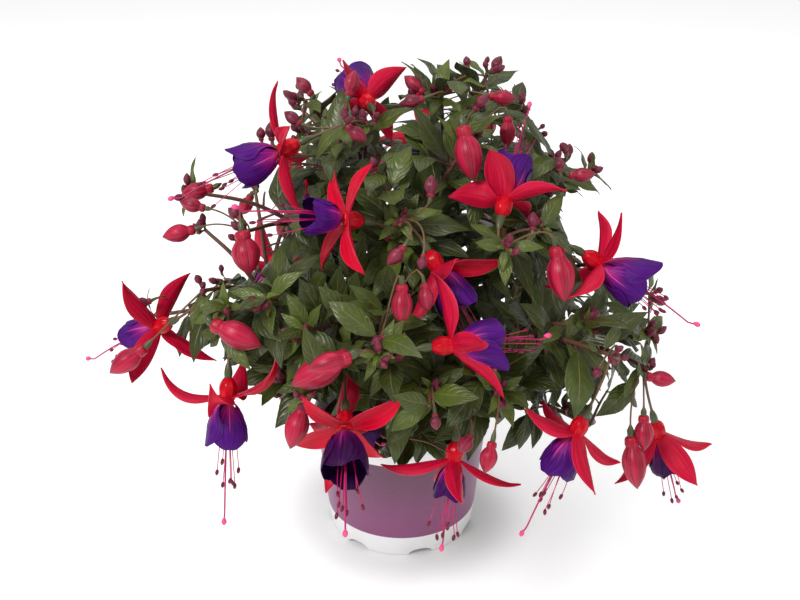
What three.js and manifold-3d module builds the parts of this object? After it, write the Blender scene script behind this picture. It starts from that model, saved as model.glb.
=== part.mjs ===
// Potted fuchsia: a bushy plant in blossom, in a round grower's pot.
// Millimetres, +Z up, origin at the middle of the pot's flat base. -Y is the front.
import * as THREE from 'three';
import { mergeVertices } from 'three/addons/utils/BufferGeometryUtils.js';
import Module from 'manifold-3d';

const wasm = await Module();
wasm.setup();

// Pot
const POT_HEIGHT = 88;
const POT_RIM_RADIUS = 60;
const POT_BASE_RADIUS = 50;
const POT_WALL = 1.7;
const POT_LIP = 2.6;
const POT_FLOOR = 7;
const POT_SIDES = 24;
const COLLAR_FROM = 76.5;
const COLLAR_RADIUS = 58;
const COLLAR_STEP = 1;
const FOOT_GAPS = 7;
const FOOT_GAP_WIDTH = 17;
const FOOT_GAP_HEIGHT = 4.5;
const FOOT_GAP_DEPTH = 5;
const FOOT_GAP_START = -75;

// Soil
const SOIL_TOP = 76;
const SOIL_CROWN = 80;
const SEAT_GAP = 0.3;
const STEM_HOLE_DEPTH = 12;
const STEM_STEPS = 4;
const STEM_SIDES = 4;
const STEM_LIFT = 0.62;

// Stems, shoots and stalks: radius at the root and at the tip
const STEM_RADIUS = [2.6, 1.7];
const SHOOT_RADIUS = [1.5, 1.1];
const LEAF_SEAT = 0.5;
const STALK_RADIUS = 0.75;
const CROWN_RADIUS = 30;

// Flowers: tube and ovary, sepals, corolla and style
const OVARY_LENGTH = 8;
const OVARY_RADIUS = 2.6;
const TUBE_LENGTH = 12;
const TUBE_RADIUS = 4.7;
const TUBE_SIDES = 6;
const SEPAL_LENGTH = 36;
const SEPAL_WIDTH = 13;
const SEPAL_THICK = 1.3;
const SEPAL_STATIONS = [0, 0.36, 0.72, 1];
const SEPAL_SHAPE = [0.4, 1, 0.7, 0];
const SEPAL_ROOT = 2.8;
const SEPAL_CURL = 0.2;
const COROLLA_LENGTH = 27;
const COROLLA_MOUTH = 12.5;
const COROLLA_SHOULDER = 6.8;
const COROLLA_THICK = 1.1;
const COROLLA_HOLE = 2;
const COROLLA_START = 0.55;
const COROLLA_SIDES = 8;
const PETAL_LOBE = 0.12;
const STYLE_RADIUS = 0.7;
const STIGMA_RADIUS = 1.7;

// Leaves
const LEAF_LENGTH = 37;
const LEAF_WIDTH = 17;
const LEAF_THICK = 1.1;
const LEAF_STATIONS = [0, 0.38, 0.74, 1];
const LEAF_SHAPE = [0.06, 1, 0.72, 0];
const LEAF_DROOP = 0.16;

// Where leaves, shoots and stalks leave what carries them, as shares of its length
const SHOOT_SHARES = [0.42, 0.54, 0.66, 0.78, 0.9];
const PAIR_SHARE = 0.72;
const LONE_SHARE = 0.42;
const LONE_SKIP = 8;
const TIP_SHARE = 0.97;
const BUD_SHARES = [0.45, 0.7, 0.98];
const LEAF_TURNS = [0, 0.35, -0.35, 0.7, -0.7];
const LEAF_FREE_FROM = 0.12;
const SHOOT_LIFT = 0.08;
const STALK_LENGTH = 20;
const STALK_RISE = 10;
const BUD_PLUMP = 0.9;
const BUD_FATNESS = 0.215;
const BUD_SIDES = 5;

// Where a sepal that would touch another piece goes instead: degrees further back, and its length
const SEPAL_TRIES = [
  [0, 1], [12, 1], [-12, 1], [24, 1], [-24, 1], [0, 0.8], [24, 0.8], [-24, 0.8], [36, 0.7],
];

// Leaves stay beside the sight lines from an eye in front to each front flower and bud
const EYE = [-1, -660, 476];
const EYE_DIP = 25;
const OPEN_REACH = 70;
const OPEN_RADIUS = 12;
const OPEN_BUD_RADIUS = 5;

// Leaf mass as that eye sees it, at true size at the plant's middle: height, left and right limit
const MIDDLE_DISTANCE = 715;
const LEAF_MASS = [
  [-106, -10, 24], [-96, -18, 93], [-84, -30, 116], [-71, -96, 154], [-51, -104, 158],
  [-32, -149, 164], [0, -134, 156], [13, -116, 132], [24, -84, 116], [51, -70, 106],
  [64, -89, 106], [77, -88, 129], [96, -70, 96], [135, -68, 80], [147, -14, 80], [160, 22, 70],
];

// Smallest distance that a leaf, a bud or a sepal keeps to another piece
const CLEARANCE = 0.35;

// Flowers: middle of the star, heading and dip, roll, how far the tip of each sepal lies back,
// length of the style from the star to its tip, and where the stalk leaves its shoot if not above
const FLOWERS = [
  { name: 'a', star: [-67, -77, 293], aim: [191, -21], roll: 100, tips: [19, -6, 16, 20], style: 66,
    node: [-30, -70, 307] },
  { name: 'b', star: [-31, -122, 271], aim: [204, 15], roll: 132, tips: [2, 0, -1, 6], style: 60,
    bell: 0.8, node: [-3, -106, 253] },
  { name: 'c', star: [-21, -36, 312], aim: [106, 7], roll: 127, tips: [7, -2, 9, -15], style: 66, long: 0.76,
    node: [-18, -74, 307] },
  { name: 'd', star: [55, -105, 277], aim: [71, 39], roll: 56, tips: [-12, -18, -3, -18], style: 62,
    long: 0.85, bell: 0.85, node: [53, -135, 260] },
  { name: 'e', star: [-138, -100, 197], aim: [151, -31], roll: 38, tips: [13, 12, -5, 19], style: 68,
    bell: 0.82 },
  { name: 'f', star: [-92, -151, 180], aim: [262, -71], roll: 155, tips: [25, 51, 20, 21], style: 68,
    bell: 0.9, curl: 0.6 },
  { name: 'g', star: [-29, -174, 175], aim: [-88, -25], roll: 102, tips: [7, 0, 7, -2], style: 60,
    long: 0.93 },
  { name: 'h', star: [27, -166, 150], aim: [-111, -69], roll: 42, tips: [-11, -38, -16, -21], style: 48,
    bell: 0.7, node: [16, -150, 186] },
  { name: 'i', star: [92, -153, 159], aim: [196, -65], roll: 154, tips: [-17, -24, 12, -3], style: 66,
    bell: 0.88 },
  { name: 'j', star: [150, -108, 130], aim: [12, -70], roll: -28, tips: [-42, -24, -31, -31], style: 52,
    bell: 0.85 },
  { name: 'k', star: [108, -108, 239], aim: [-7, -31], roll: 0, tips: [18, 18, 21, 15], style: 65,
    node: [74, -96, 256] },
  { name: 'l', star: [27, -157, 216], aim: [10, 1], roll: 39, tips: [-15, -55, 7, 9], style: 51, bell: 0.92,
    node: [-12, -168, 216] },
  { name: 'm', star: [20, -123, 242], aim: [-42, -49], roll: 7, tips: [-6, -34, -71, -22], style: 60,
    long: 0.96, bell: 0.9, node: [-2, -116, 268] },
  { name: 'n', star: [-33, -138, 156], aim: [60, -39], roll: 151, tips: [-3, -37, 3, 37], style: 60,
    long: 0.95 },
  { name: 'o', star: [84, 92, 205], aim: [55, -40], roll: 15, tips: [20, 8, 26, 14], style: 66 },
  { name: 'p', star: [18, 132, 240], aim: [95, -30], roll: 60, tips: [24, 30, 12, 18], style: 68 },
  { name: 'q', star: [-68, 112, 212], aim: [130, -35], roll: 35, tips: [10, 22, 16, 4], style: 70 },
  { name: 'r', star: [-96, 96, 150], aim: [150, -62], roll: 0, tips: [30, 18, 26, 22], style: 66 },
  { name: 's', star: [92, 138, 150], aim: [50, -72], roll: 50, tips: [14, 20, 6, 24], style: 70 },
  { name: 't', star: [-32, 160, 162], aim: [110, -70], roll: 25, tips: [22, 28, 14, 30], style: 64 },
];

// Main stems: end [x, y, z], the flowers that they carry and the tips of their other shoots
const STEMS = [
  { name: 'left', end: [-88, -62, 204], flowers: ['e'], shoots: [[-148, -70, 190], [-118, -38, 232]] },
  { name: 'front_left', end: [-56, -92, 204], flowers: ['f', 'n'],
    shoots: [[-70, -136, 232], [-64, -112, 168]] },
  { name: 'front', end: [-16, -108, 204], flowers: ['g', 'l'], shoots: [[-50, -146, 218], [-6, -158, 206]] },
  { name: 'front_low', end: [22, -98, 170], flowers: ['h'], shoots: [[52, -146, 182], [4, -112, 132]] },
  { name: 'front_right', end: [60, -92, 190], flowers: ['i'], shoots: [[96, -126, 212]] },
  { name: 'right_low', end: [98, -58, 172], flowers: ['j'], shoots: [[142, -84, 186], [112, -92, 128]] },
  { name: 'right', end: [104, 4, 190], flowers: [],
    shoots: [[160, -8, 176], [142, 30, 120], [126, -44, 212]] },
  { name: 'right_high', end: [66, -30, 246], flowers: ['d', 'k'],
    shoots: [[112, -18, 262], [92, -64, 284]] },
  { name: 'centre', end: [4, -62, 236], flowers: ['b', 'm'], shoots: [[36, -76, 298]] },
  { name: 'left_high', end: [-58, -28, 240], flowers: ['a'], shoots: [[-122, -44, 258], [-86, -92, 252]] },
  { name: 'top_left', end: [-26, 4, 268], flowers: ['c'], shoots: [[-58, -22, 308], [-64, 34, 286]] },
  { name: 'top_right', end: [30, 14, 280], flowers: [],
    shoots: [[22, -30, 312], [52, 4, 316], [76, 44, 284]] },
  { name: 'back_right', end: [74, 66, 196], flowers: ['o', 's'], shoots: [[128, 50, 168], [102, 62, 240]] },
  { name: 'back', end: [14, 92, 206], flowers: ['p', 't'], shoots: [[40, 156, 190], [-30, 104, 262]] },
  { name: 'back_left', end: [-62, 74, 190], flowers: ['q'], shoots: [[-86, 132, 172], [-24, 138, 118]] },
  { name: 'left_back', end: [-98, 20, 184], flowers: ['r'], shoots: [[-118, 24, 172], [-98, 46, 226]] },
];

// Buds: middle [x, y, z], length, heading, dip, and fatness where it isn't usual
const BUDS = [
  [-56, -29, 317, 14, 155, 43], [-60, -64, 308, 12, 162, 33], [-24, -90, 307, 14, -28, -29],
  [-27, -66, 328, 15, 58, 61], [-73, -59, 299, 11, 103, 64], [-115, -68, 267, 19, -175, -11],
  [-115, -85, 265, 15, 173, 14], [-123, -89, 250, 19, -174, -12], [-81, -127, 254, 24, -60, -72, 1.25],
  [-148, -131, 193, 24, -163, -32], [-85, -150, 218, 29, -11, -22], [-41, -168, 207, 34, -168, -25],
  [-35, -184, 220, 22, -164, -9], [-54, -169, 175, 25, -126, -60], [7, -45, 322, 15, 160, 36],
  [6, -62, 317, 13, -175, -11], [60, 39, 314, 12, 36, 51], [57, -43, 314, 16, -3, -6],
  [44, -54, 314, 12, 26, 43], [35, -96, 298, 30, -57, -68], [58, -70, 302, 17, -90, -75],
  [15, -117, 287, 12, 84, 65], [99, -78, 280, 15, 1, 2], [82, -134, 245, 30, -63, -68],
  [-3, -145, 260, 13, -155, -42], [0, -160, 240, 21, -90, -75], [12, -152, 240, 15, -69, -70],
  [28, -175, 218, 16, -172, -16], [144, -119, 175, 17, -4, -8], [134, -134, 149, 21, -79, -75],
  [129, -139, 133, 31, -66, -70, 0.9], [44, -183, 165, 17, -124, -65], [32, -183, 173, 14, -115, -4],
  [64, 128, 250, 20, 45, -65], [-70, 48, 290, 13, 140, 0], [-106, 54, 214, 18, 160, -60],
  [-92, 144, 162, 20, 125, -70],
];

const COLOURS = {
  pot: [0xf2f1ef, 0.45],
  soil: [0x2a211b, 0.95],
  stem: [0x4c6038, 0.6],
  red: [0xd81236, 0.4],
  violet: [0x4a1a80, 0.55],
};

// Small maths helpers
const UP = new THREE.Vector3(0, 0, 1);
const vec = (p) => new THREE.Vector3(...p);
const radians = THREE.MathUtils.degToRad;
const clamp01 = (value) => Math.min(1, Math.max(0, value));

function heading(azimuth, dip) {
  const [a, d] = [radians(azimuth), radians(dip)];
  return new THREE.Vector3(Math.cos(d) * Math.cos(a), Math.cos(d) * Math.sin(a), Math.sin(d));
}

// One even draw from 0 to 1 that depends only on its three numbers
function draw(one, two, three) {
  const value = Math.sin(one * 12.9898 + two * 78.233 + three * 37.719) * 4375.85453;
  return value - Math.floor(value);
}

// Solids: a closed geometry becomes a manifold, and a manifold becomes a mesh
function toSolid(geometry) {
  const bare = geometry.index ? geometry.clone() : geometry;
  bare.deleteAttribute('normal');
  bare.deleteAttribute('uv');
  const merged = mergeVertices(bare, 1e-4);
  const mesh = new wasm.Mesh({
    numProp: 3,
    vertProperties: new Float32Array(merged.attributes.position.array),
    triVerts: new Uint32Array(merged.index.array),
  });
  return new wasm.Manifold(mesh);
}

function toMesh(name, solid, kind) {
  const data = solid.getMesh();
  const geometry = new THREE.BufferGeometry();
  geometry.setAttribute('position', new THREE.BufferAttribute(data.vertProperties, 3));
  geometry.setIndex(new THREE.BufferAttribute(data.triVerts, 1));
  geometry.computeVertexNormals();
  const [color, roughness] = COLOURS[kind];
  const mesh = new THREE.Mesh(geometry, new THREE.MeshStandardMaterial({ color, roughness }));
  mesh.name = name;
  return mesh;
}

function reshape(geometry, move) {
  const position = geometry.attributes.position;
  const point = new THREE.Vector3();
  for (let i = 0; i < position.count; i += 1) {
    point.fromBufferAttribute(position, i);
    move(point);
    position.setXYZ(i, point.x, point.y, point.z);
  }
  return geometry;
}

// A turned solid about Z from [radius, height] pairs
function turned(profile, sides) {
  const points = profile.map(([radius, height]) => new THREE.Vector2(radius, height));
  return new THREE.LatheGeometry(points, sides).rotateX(Math.PI / 2);
}

// Frame with Z along an axis and X turned by a roll about it
function frameAlong(origin, axis, roll) {
  const side = Math.abs(axis.z) > 0.95 ? new THREE.Vector3(1, 0, 0) : UP.clone();
  const x = side.addScaledVector(axis, -side.dot(axis)).normalize();
  const y = new THREE.Vector3().crossVectors(axis, x);
  const turnedX = x.clone().multiplyScalar(Math.cos(roll)).addScaledVector(y, Math.sin(roll));
  const turnedY = new THREE.Vector3().crossVectors(axis, turnedX);
  return new THREE.Matrix4().makeBasis(turnedX, turnedY, axis).setPosition(origin);
}

// A curve that passes through its points at even shares of its length
class PointCurve extends THREE.Curve {
  constructor(points) {
    super();
    this.points = points;
  }

  getPointAt(share) {
    const last = this.points.length - 1;
    const low = Math.min(Math.floor(share * last + 1e-6), last - 1);
    return this.points[low].clone().lerp(this.points[low + 1], share * last - low);
  }

  getTangentAt(share) {
    const half = 0.5 / (this.points.length - 1);
    const ahead = this.getPointAt(Math.min(1, share + half));
    return ahead.sub(this.getPointAt(Math.max(0, share - half))).normalize();
  }
}

// A rod along a curve, with its radii at even steps from root to tip
function rod(curve, steps, sides, radii) {
  const section = new THREE.Shape();
  for (let i = 0; i < sides; i += 1) {
    const angle = (i / sides) * Math.PI * 2;
    section[i ? 'lineTo' : 'moveTo'](Math.cos(angle), Math.sin(angle));
  }
  section.closePath();
  const geometry = new THREE.ExtrudeGeometry(section, { steps, extrudePath: curve });
  const stations = Array.from({ length: steps + 1 }, (_, i) => curve.getPointAt(i / steps));
  reshape(geometry, (point) => {
    const distances = stations.map((station) => Math.abs(station.distanceTo(point) - 1));
    const nearest = distances.indexOf(Math.min(...distances));
    const place = (nearest / steps) * (radii.length - 1);
    const low = Math.min(Math.floor(place), radii.length - 2);
    const radius = radii[low] + (radii[low + 1] - radii[low]) * (place - low);
    point.sub(stations[nearest]).multiplyScalar(radius).add(stations[nearest]);
  });
  return toSolid(geometry);
}

// A thin blade along +Z with a flat upper face and a rib below, from stations and widths
function blade(length, width, thick, stations, shape, bend) {
  const rows = stations.length - 1;
  const geometry = new THREE.CylinderGeometry(0, 1, 1, 3, rows);
  return reshape(geometry, (point) => {
    const row = Math.round((point.y + 0.5) * rows);
    const along = stations[row];
    const half = (shape[row] * width) / 2;
    const isEdge = row < rows && Math.abs(point.x) > 0.01;
    const across = isEdge ? Math.sign(point.x) * half : 0;
    const skin = isEdge || row === rows ? 0 : -thick;
    point.copy(bend(across, skin, along * length, along));
  });
}

// Pot: cup with a collar and arched gaps between its feet
function makePot() {
  const innerTop = POT_RIM_RADIUS - POT_LIP;
  let pot = toSolid(turned([
    [0, 0],
    [POT_BASE_RADIUS, 0],
    [COLLAR_RADIUS, COLLAR_FROM],
    [COLLAR_RADIUS + COLLAR_STEP, COLLAR_FROM + 1],
    [POT_RIM_RADIUS, POT_HEIGHT - 1],
    [POT_RIM_RADIUS - 0.7, POT_HEIGHT],
    [innerTop, POT_HEIGHT],
    [COLLAR_RADIUS - POT_WALL, COLLAR_FROM],
    [POT_BASE_RADIUS - POT_WALL, POT_FLOOR],
    [0, POT_FLOOR],
  ], POT_SIDES));
  for (let i = 0; i < FOOT_GAPS; i += 1) {
    const arch = new THREE.CylinderGeometry(1, 1, 20, 6);
    arch.scale(FOOT_GAP_WIDTH / 2, 1, FOOT_GAP_HEIGHT);
    arch.translate(0, POT_BASE_RADIUS - FOOT_GAP_DEPTH + 10, 0);
    arch.rotateZ(radians(FOOT_GAP_START - 90 + (i * 360) / FOOT_GAPS));
    pot = pot.subtract(toSolid(arch));
  }
  return pot;
}

// Where a main stem stands in the soil
function stemFoot(stem) {
  const end = vec(stem.end);
  const share = 0.25 + 0.75 * clamp01((300 - end.z) / 150);
  const out = new THREE.Vector3(end.x, end.y, 0).normalize();
  return out.multiplyScalar(CROWN_RADIUS * share).setZ(SOIL_TOP);
}

// Main stem: up out of the soil and over to its end
function stemCurve(stem) {
  const end = vec(stem.end);
  const foot = stemFoot(stem);
  const knee = foot.clone().lerp(end, 0.45);
  knee.z = SOIL_TOP + STEM_LIFT * (end.z - SOIL_TOP);
  const smooth = new THREE.QuadraticBezierCurve3(foot.setZ(SOIL_TOP - STEM_HOLE_DEPTH), knee, end);
  return new PointCurve(smooth.getSpacedPoints(STEM_STEPS));
}

// Soil: low dome with a plain hole for each stem
function makeSoil() {
  const inner = POT_BASE_RADIUS - POT_WALL - SEAT_GAP;
  const outer = COLLAR_RADIUS - POT_WALL - SEAT_GAP;
  let soil = toSolid(turned([
    [0, POT_FLOOR + SEAT_GAP],
    [inner, POT_FLOOR + SEAT_GAP],
    [outer, SOIL_TOP],
    [0, SOIL_CROWN],
  ], POT_SIDES));
  for (const stem of STEMS) {
    const radii = STEM_RADIUS.map((radius) => radius + 2 * SEAT_GAP);
    const hole = rod(stemCurve(stem), STEM_STEPS, STEM_SIDES, radii);
    soil = soil.subtract(hole.translate(0, 0, -SEAT_GAP));
  }
  return soil;
}

// Flower: shared frame, with its star at the origin and +Z toward the mouth
function flowerFrame(flower) {
  const axis = heading(...flower.aim);
  return frameAlong(vec(flower.star), axis, radians(flower.roll));
}

// One sepal: out from the tube, and curved so that its tip lies back by the given angle
function sepal(tip, turn, long, curl) {
  const lean = radians(tip) - curl;
  const geometry = blade(SEPAL_LENGTH * long, SEPAL_WIDTH, SEPAL_THICK, SEPAL_STATIONS, SEPAL_SHAPE,
    (across, skin, along, share) => {
      const angle = lean + curl * share * share;
      return new THREE.Vector3(
        SEPAL_ROOT + along * Math.cos(angle) + skin * Math.sin(angle),
        across,
        -1.8 - along * Math.sin(angle) + skin * Math.cos(angle),
      );
    });
  return geometry.rotateZ(radians(turn));
}

// Tube, style and stigma in one turned solid
function tubeSolid(style) {
  return toSolid(turned([
    [0, -TUBE_LENGTH],
    [OVARY_RADIUS * 0.8, -TUBE_LENGTH],
    [TUBE_RADIUS, -TUBE_LENGTH * 0.5],
    [TUBE_RADIUS * 0.9, -0.6],
    [STYLE_RADIUS, 0.4],
    [STIGMA_RADIUS, style - 2],
    [0, style],
  ], TUBE_SIDES));
}

// Corolla: bell of four lapping petals with a waved mouth, open round the style
function corollaGeometry(item, size) {
  const belly = COROLLA_MOUTH * 0.94;
  const heightAt = (share) => COROLLA_START + share * COROLLA_LENGTH;
  const profile = [
    [COROLLA_HOLE, heightAt(0)],
    [COROLLA_SHOULDER, heightAt(0.1)],
    [belly, heightAt(0.6)],
    [COROLLA_MOUTH, heightAt(1)],
    [COROLLA_MOUTH - COROLLA_THICK, heightAt(1)],
    [COROLLA_SHOULDER - COROLLA_THICK, heightAt(0.1) + COROLLA_THICK],
    [COROLLA_HOLE, heightAt(0)],
  ];
  const points = profile.map(([radius, height]) => new THREE.Vector2(radius, height));
  const geometry = new THREE.LatheGeometry(points, COROLLA_SIDES).rotateX(Math.PI / 2);
  return reshape(geometry, (point) => {
    const share = clamp01((point.z - COROLLA_START) / COROLLA_LENGTH);
    const angle = Math.atan2(point.y, point.x);
    const swell = 1 + share * (PETAL_LOBE * Math.cos(4 * angle) + 0.05 * Math.cos(3 * angle + item));
    point.x *= swell;
    point.y *= swell;
    point.z += PETAL_LOBE * 20 * share * Math.cos(4 * angle);
    point.multiplyScalar(size);
  });
}

// Bookkeeping of what is placed, so that a later piece can be kept clear of it
const placed = [];

function remember(owner, solid) {
  const box = solid.boundingBox();
  placed.push({ owner, solid, box });
  return solid;
}

function isClear(solid, owner) {
  const box = solid.boundingBox();
  return placed.every((other) => {
    if (other.owner === owner) return true;
    for (let k = 0; k < 3; k += 1) {
      if (box.min[k] > other.box.max[k] + 1 || box.max[k] < other.box.min[k] - 1) return true;
    }
    return solid.minGap(other.solid, 1) >= CLEARANCE;
  });
}

const solids = new Map();

solids.set('pot', { solid: remember('pot', makePot()), kind: 'pot' });
solids.set('soil', { solid: remember('soil', makeSoil()), kind: 'soil' });

// Corollas come first, and then the red pieces, whose sepals bend clear of their neighbours
FLOWERS.forEach((flower, item) => {
  const name = `flower_${flower.name}_corolla`;
  const solid = toSolid(corollaGeometry(item, flower.bell ?? 1).applyMatrix4(flowerFrame(flower)));
  solids.set(name, { solid: remember(name, solid), kind: 'violet' });
});

FLOWERS.forEach((flower) => {
  const name = `flower_${flower.name}_red`;
  const matrix = flowerFrame(flower);
  const parts = [tubeSolid(flower.style)];
  flower.tips.forEach((tip, i) => {
    const long = flower.long ?? 1;
    const curl = flower.curl ?? SEPAL_CURL;
    const turn = i * 90 + 22.5;
    const fit = SEPAL_TRIES.map(([more, part]) => toSolid(sepal(tip + more, turn, long * part, curl)))
      .find((solid) => isClear(solid.transform(matrix.elements), name));
    if (fit) parts.push(fit);
  });
  const solid = wasm.Manifold.union(parts).transform(matrix.elements);
  solids.set(name, { solid: remember(name, solid), kind: 'red' });
});

// Shoot: rises a little to its middle and on to its tip
function shootCurve(from, tip) {
  const middle = from.clone().lerp(tip, 0.5).addScaledVector(UP, SHOOT_LIFT * from.distanceTo(tip));
  return new PointCurve([from, middle, tip]);
}

// Place on the stem from which a shoot to this tip leaves, at the best mix of near and low
function shootRoot(curve, tip) {
  let best = null;
  for (const share of SHOOT_SHARES) {
    const point = curve.getPointAt(share);
    const drop = Math.max(0, point.z - tip.z + 8);
    const cost = point.distanceTo(tip) + 2 * drop;
    if (!best || cost < best.cost) best = { point, cost };
  }
  return best.point;
}

// Place where a flower's stalk leaves its shoot
function flowerNode(flower) {
  if (flower.node) return vec(flower.node);
  const axis = heading(...flower.aim);
  const back = TUBE_LENGTH + SEAT_GAP + OVARY_LENGTH + STALK_LENGTH;
  return vec(flower.star).addScaledVector(axis, -back).addScaledVector(UP, STALK_RISE);
}

// Shoot, stalk and ovary of a flower in one rod: two curves that meet at the node
function flowerShoot(flower, shoot) {
  const axis = heading(...flower.aim);
  const node = flowerNode(flower);
  const end = vec(flower.star).addScaledVector(axis, -(TUBE_LENGTH + SEAT_GAP));
  const bend = end.clone().addScaledVector(axis, -0.75 * node.distanceTo(end));
  const stalk = new THREE.QuadraticBezierCurve3(node, bend, end);
  const ovary = 1 - OVARY_LENGTH / stalk.getLength();
  const places = [0.45, ovary, ovary * 0.4 + 0.6, 1].map((share) => stalk.getPointAt(share));
  const points = [...shoot.points, ...places];
  const [low, high] = SHOOT_RADIUS;
  const radii = [low, high, high, STALK_RADIUS, STALK_RADIUS, OVARY_RADIUS, OVARY_RADIUS * 0.8];
  return rod(new PointCurve(points), points.length - 1, 3, radii);
}

function budStalk(from, end, axis) {
  const line = new THREE.LineCurve3(from, end.clone().addScaledVector(axis, 1.5));
  return rod(line, 1, 3, [STALK_RADIUS, STALK_RADIUS]);
}

function budSolid(middle, length, axis, fat) {
  const radius = (BUD_PLUMP + BUD_FATNESS * length) * fat;
  const bud = turned([
    [0, -length / 2],
    [radius, -length * 0.12],
    [radius * 0.72, length * 0.25],
    [0, length / 2],
  ], BUD_SIDES);
  return toSolid(bud.applyMatrix4(frameAlong(middle, axis, 0)));
}

// One leaf from its root, along its direction, with its upper face toward the given side
function leafSolid(root, direction, face, length) {
  const width = length * (LEAF_WIDTH / LEAF_LENGTH);
  const geometry = blade(length, width, LEAF_THICK, LEAF_STATIONS, LEAF_SHAPE,
    (across, skin, along, share) => (
      new THREE.Vector3(across, skin + LEAF_THICK / 2 - LEAF_DROOP * length * share * share, along)));
  const z = direction.clone().normalize();
  const y = face.clone().addScaledVector(z, -face.dot(z)).normalize();
  const x = new THREE.Vector3().crossVectors(y, z);
  const matrix = new THREE.Matrix4().makeBasis(x, y, z).setPosition(root);
  return toSolid(geometry.applyMatrix4(matrix));
}

// Leaves of a shoot: a pair and a lone one on its way, and one at its tip where no flower hangs
function leavesOn(curve, seed, hasTipLeaf) {
  const leaves = [];
  const add = (share, hand, number) => {
    const root = curve.getPointAt(share);
    const along = curve.getTangentAt(share);
    const out = new THREE.Vector3(root.x, root.y, 0.5 * (root.z - SOIL_CROWN)).normalize();
    const level = new THREE.Vector3().crossVectors(along, out).normalize();
    const lift = new THREE.Vector3().crossVectors(level, along);
    const turn = 0.9 * (draw(seed, 1, 3) - 0.5);
    const direction = level.clone().multiplyScalar(hand * Math.cos(turn));
    direction.addScaledVector(lift, hand * Math.sin(turn)).addScaledVector(along, hand ? 0.5 : 1);
    direction.addScaledVector(out, 0.45).addScaledVector(UP, 0.2 - 0.5 * draw(seed, number, 4));
    const length = LEAF_LENGTH * (hand ? 1 : 0.8) * (0.85 + 0.3 * draw(seed, number, 5));
    const face = out.clone().addScaledVector(UP, 0.7);
    leaves.push({ root, direction: direction.normalize(), face, length });
  };
  add(PAIR_SHARE, -1, 0);
  add(PAIR_SHARE, 1, 1);
  if (hasTipLeaf) add(TIP_SHARE, 0, 2);
  if (seed % LONE_SKIP) add(LONE_SHARE, seed % 2 ? -1 : 1, 3);
  return leaves;
}

// Stems with their shoots, flower stalks and ovaries
const stems = STEMS.map((stem) => {
  const name = `stem_${stem.name}`;
  const curve = stemCurve(stem);
  const flowers = stem.flowers.map((key) => FLOWERS.find((flower) => flower.name === key));
  const tips = [...flowers.map(flowerNode), ...stem.shoots.map(vec)];
  const shoots = tips.map((tip) => shootCurve(shootRoot(curve, tip), tip));
  const rods = shoots.map((shoot, i) => (
    flowers[i] ? flowerShoot(flowers[i], shoot) : rod(shoot, 2, 3, SHOOT_RADIUS)));
  const parts = [rod(curve, STEM_STEPS, STEM_SIDES, STEM_RADIUS), ...rods];
  parts.forEach((part) => remember(name, part));
  return { name, shoots, parts, flowerCount: flowers.length };
});

// Place on a shoot that is nearest to a bud's base
function nearestShoot(base) {
  let best = null;
  for (const stem of stems) {
    for (const shoot of stem.shoots) {
      for (const share of BUD_SHARES) {
        const from = shoot.getPointAt(share);
        const reach = from.distanceTo(base);
        if (!best || reach < best.reach) best = { stem, from, reach };
      }
    }
  }
  return best;
}

// Buds hang from the nearest shoot
BUDS.forEach(([x, y, z, length, azimuth, dip, fat = 1]) => {
  const middle = new THREE.Vector3(x, y, z);
  const axis = heading(azimuth, dip);
  const base = middle.clone().addScaledVector(axis, -length / 2);
  const { stem, from } = nearestShoot(base);
  const parts = [budStalk(from, base, axis), budSolid(middle, length, axis, fat)];
  if (parts.every((part) => isClear(part, stem.name))) {
    stem.parts.push(...parts.map((part) => remember(stem.name, part)));
  }
});

// Places that leaves leave open to the front: the star and corolla of each flower, and each bud
const openPlaces = BUDS.map(([x, y, z]) => ({ middle: vec([x, y, z]), radius: OPEN_BUD_RADIUS }));
for (const flower of FLOWERS) {
  const middle = vec(flower.star);
  const mouth = middle.clone().addScaledVector(heading(...flower.aim), COROLLA_LENGTH * 0.7);
  openPlaces.push({ middle, radius: OPEN_RADIUS }, { middle: mouth, radius: OPEN_RADIUS });
}

// Places along a leaf from a root, at which it is judged
function spotsOn(root, direction, length) {
  return [0.35, 0.6, 0.85].map((share) => root.clone().addScaledVector(direction, length * share));
}

// True if a place stands before one of the open places
function isInTheWay(point) {
  return openPlaces.some(({ middle, radius }) => {
    const front = vec(EYE).sub(middle).normalize();
    const gap = point.clone().sub(middle);
    const ahead = gap.dot(front);
    return ahead > 0 && ahead < OPEN_REACH && gap.addScaledVector(front, -ahead).length() < radius;
  });
}

// True if the eye sees a place within the leaf mass
function isInMass(point) {
  const gap = point.clone().sub(vec(EYE)).applyAxisAngle(new THREE.Vector3(1, 0, 0), radians(EYE_DIP));
  const [side, rise] = [gap.x, gap.z].map((value) => (value * MIDDLE_DISTANCE) / gap.y);
  const above = LEAF_MASS.findIndex(([height]) => height > rise);
  if (above < 1) return false;
  const [[low, lowLeft, lowRight], [high, left, right]] = [LEAF_MASS[above - 1], LEAF_MASS[above]];
  const share = (rise - low) / (high - low);
  return side > lowLeft + (left - lowLeft) * share && side < lowRight + (right - lowRight) * share;
}

// Leaves: each is turned until it is clear of all other pieces and leaves, or left out
function fittedLeaf({ root, direction, face, length }, owner) {
  for (const turn of LEAF_TURNS) {
    const way = direction.clone().applyAxisAngle(UP, turn);
    const seat = root.clone().addScaledVector(way, LEAF_SEAT);
    const free = root.clone().addScaledVector(way, length * LEAF_FREE_FROM);
    const whole = leafSolid(seat, way, face, length);
    const outer = leafSolid(free, way, face, length * (1 - LEAF_FREE_FROM));
    const isSeenRight = spotsOn(root, way, length).every((spot) => !isInTheWay(spot) && isInMass(spot));
    const fits = isSeenRight && isClear(whole, owner) && isClear(outer, null);
    if (fits) return whole;
  }
  return null;
}

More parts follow.
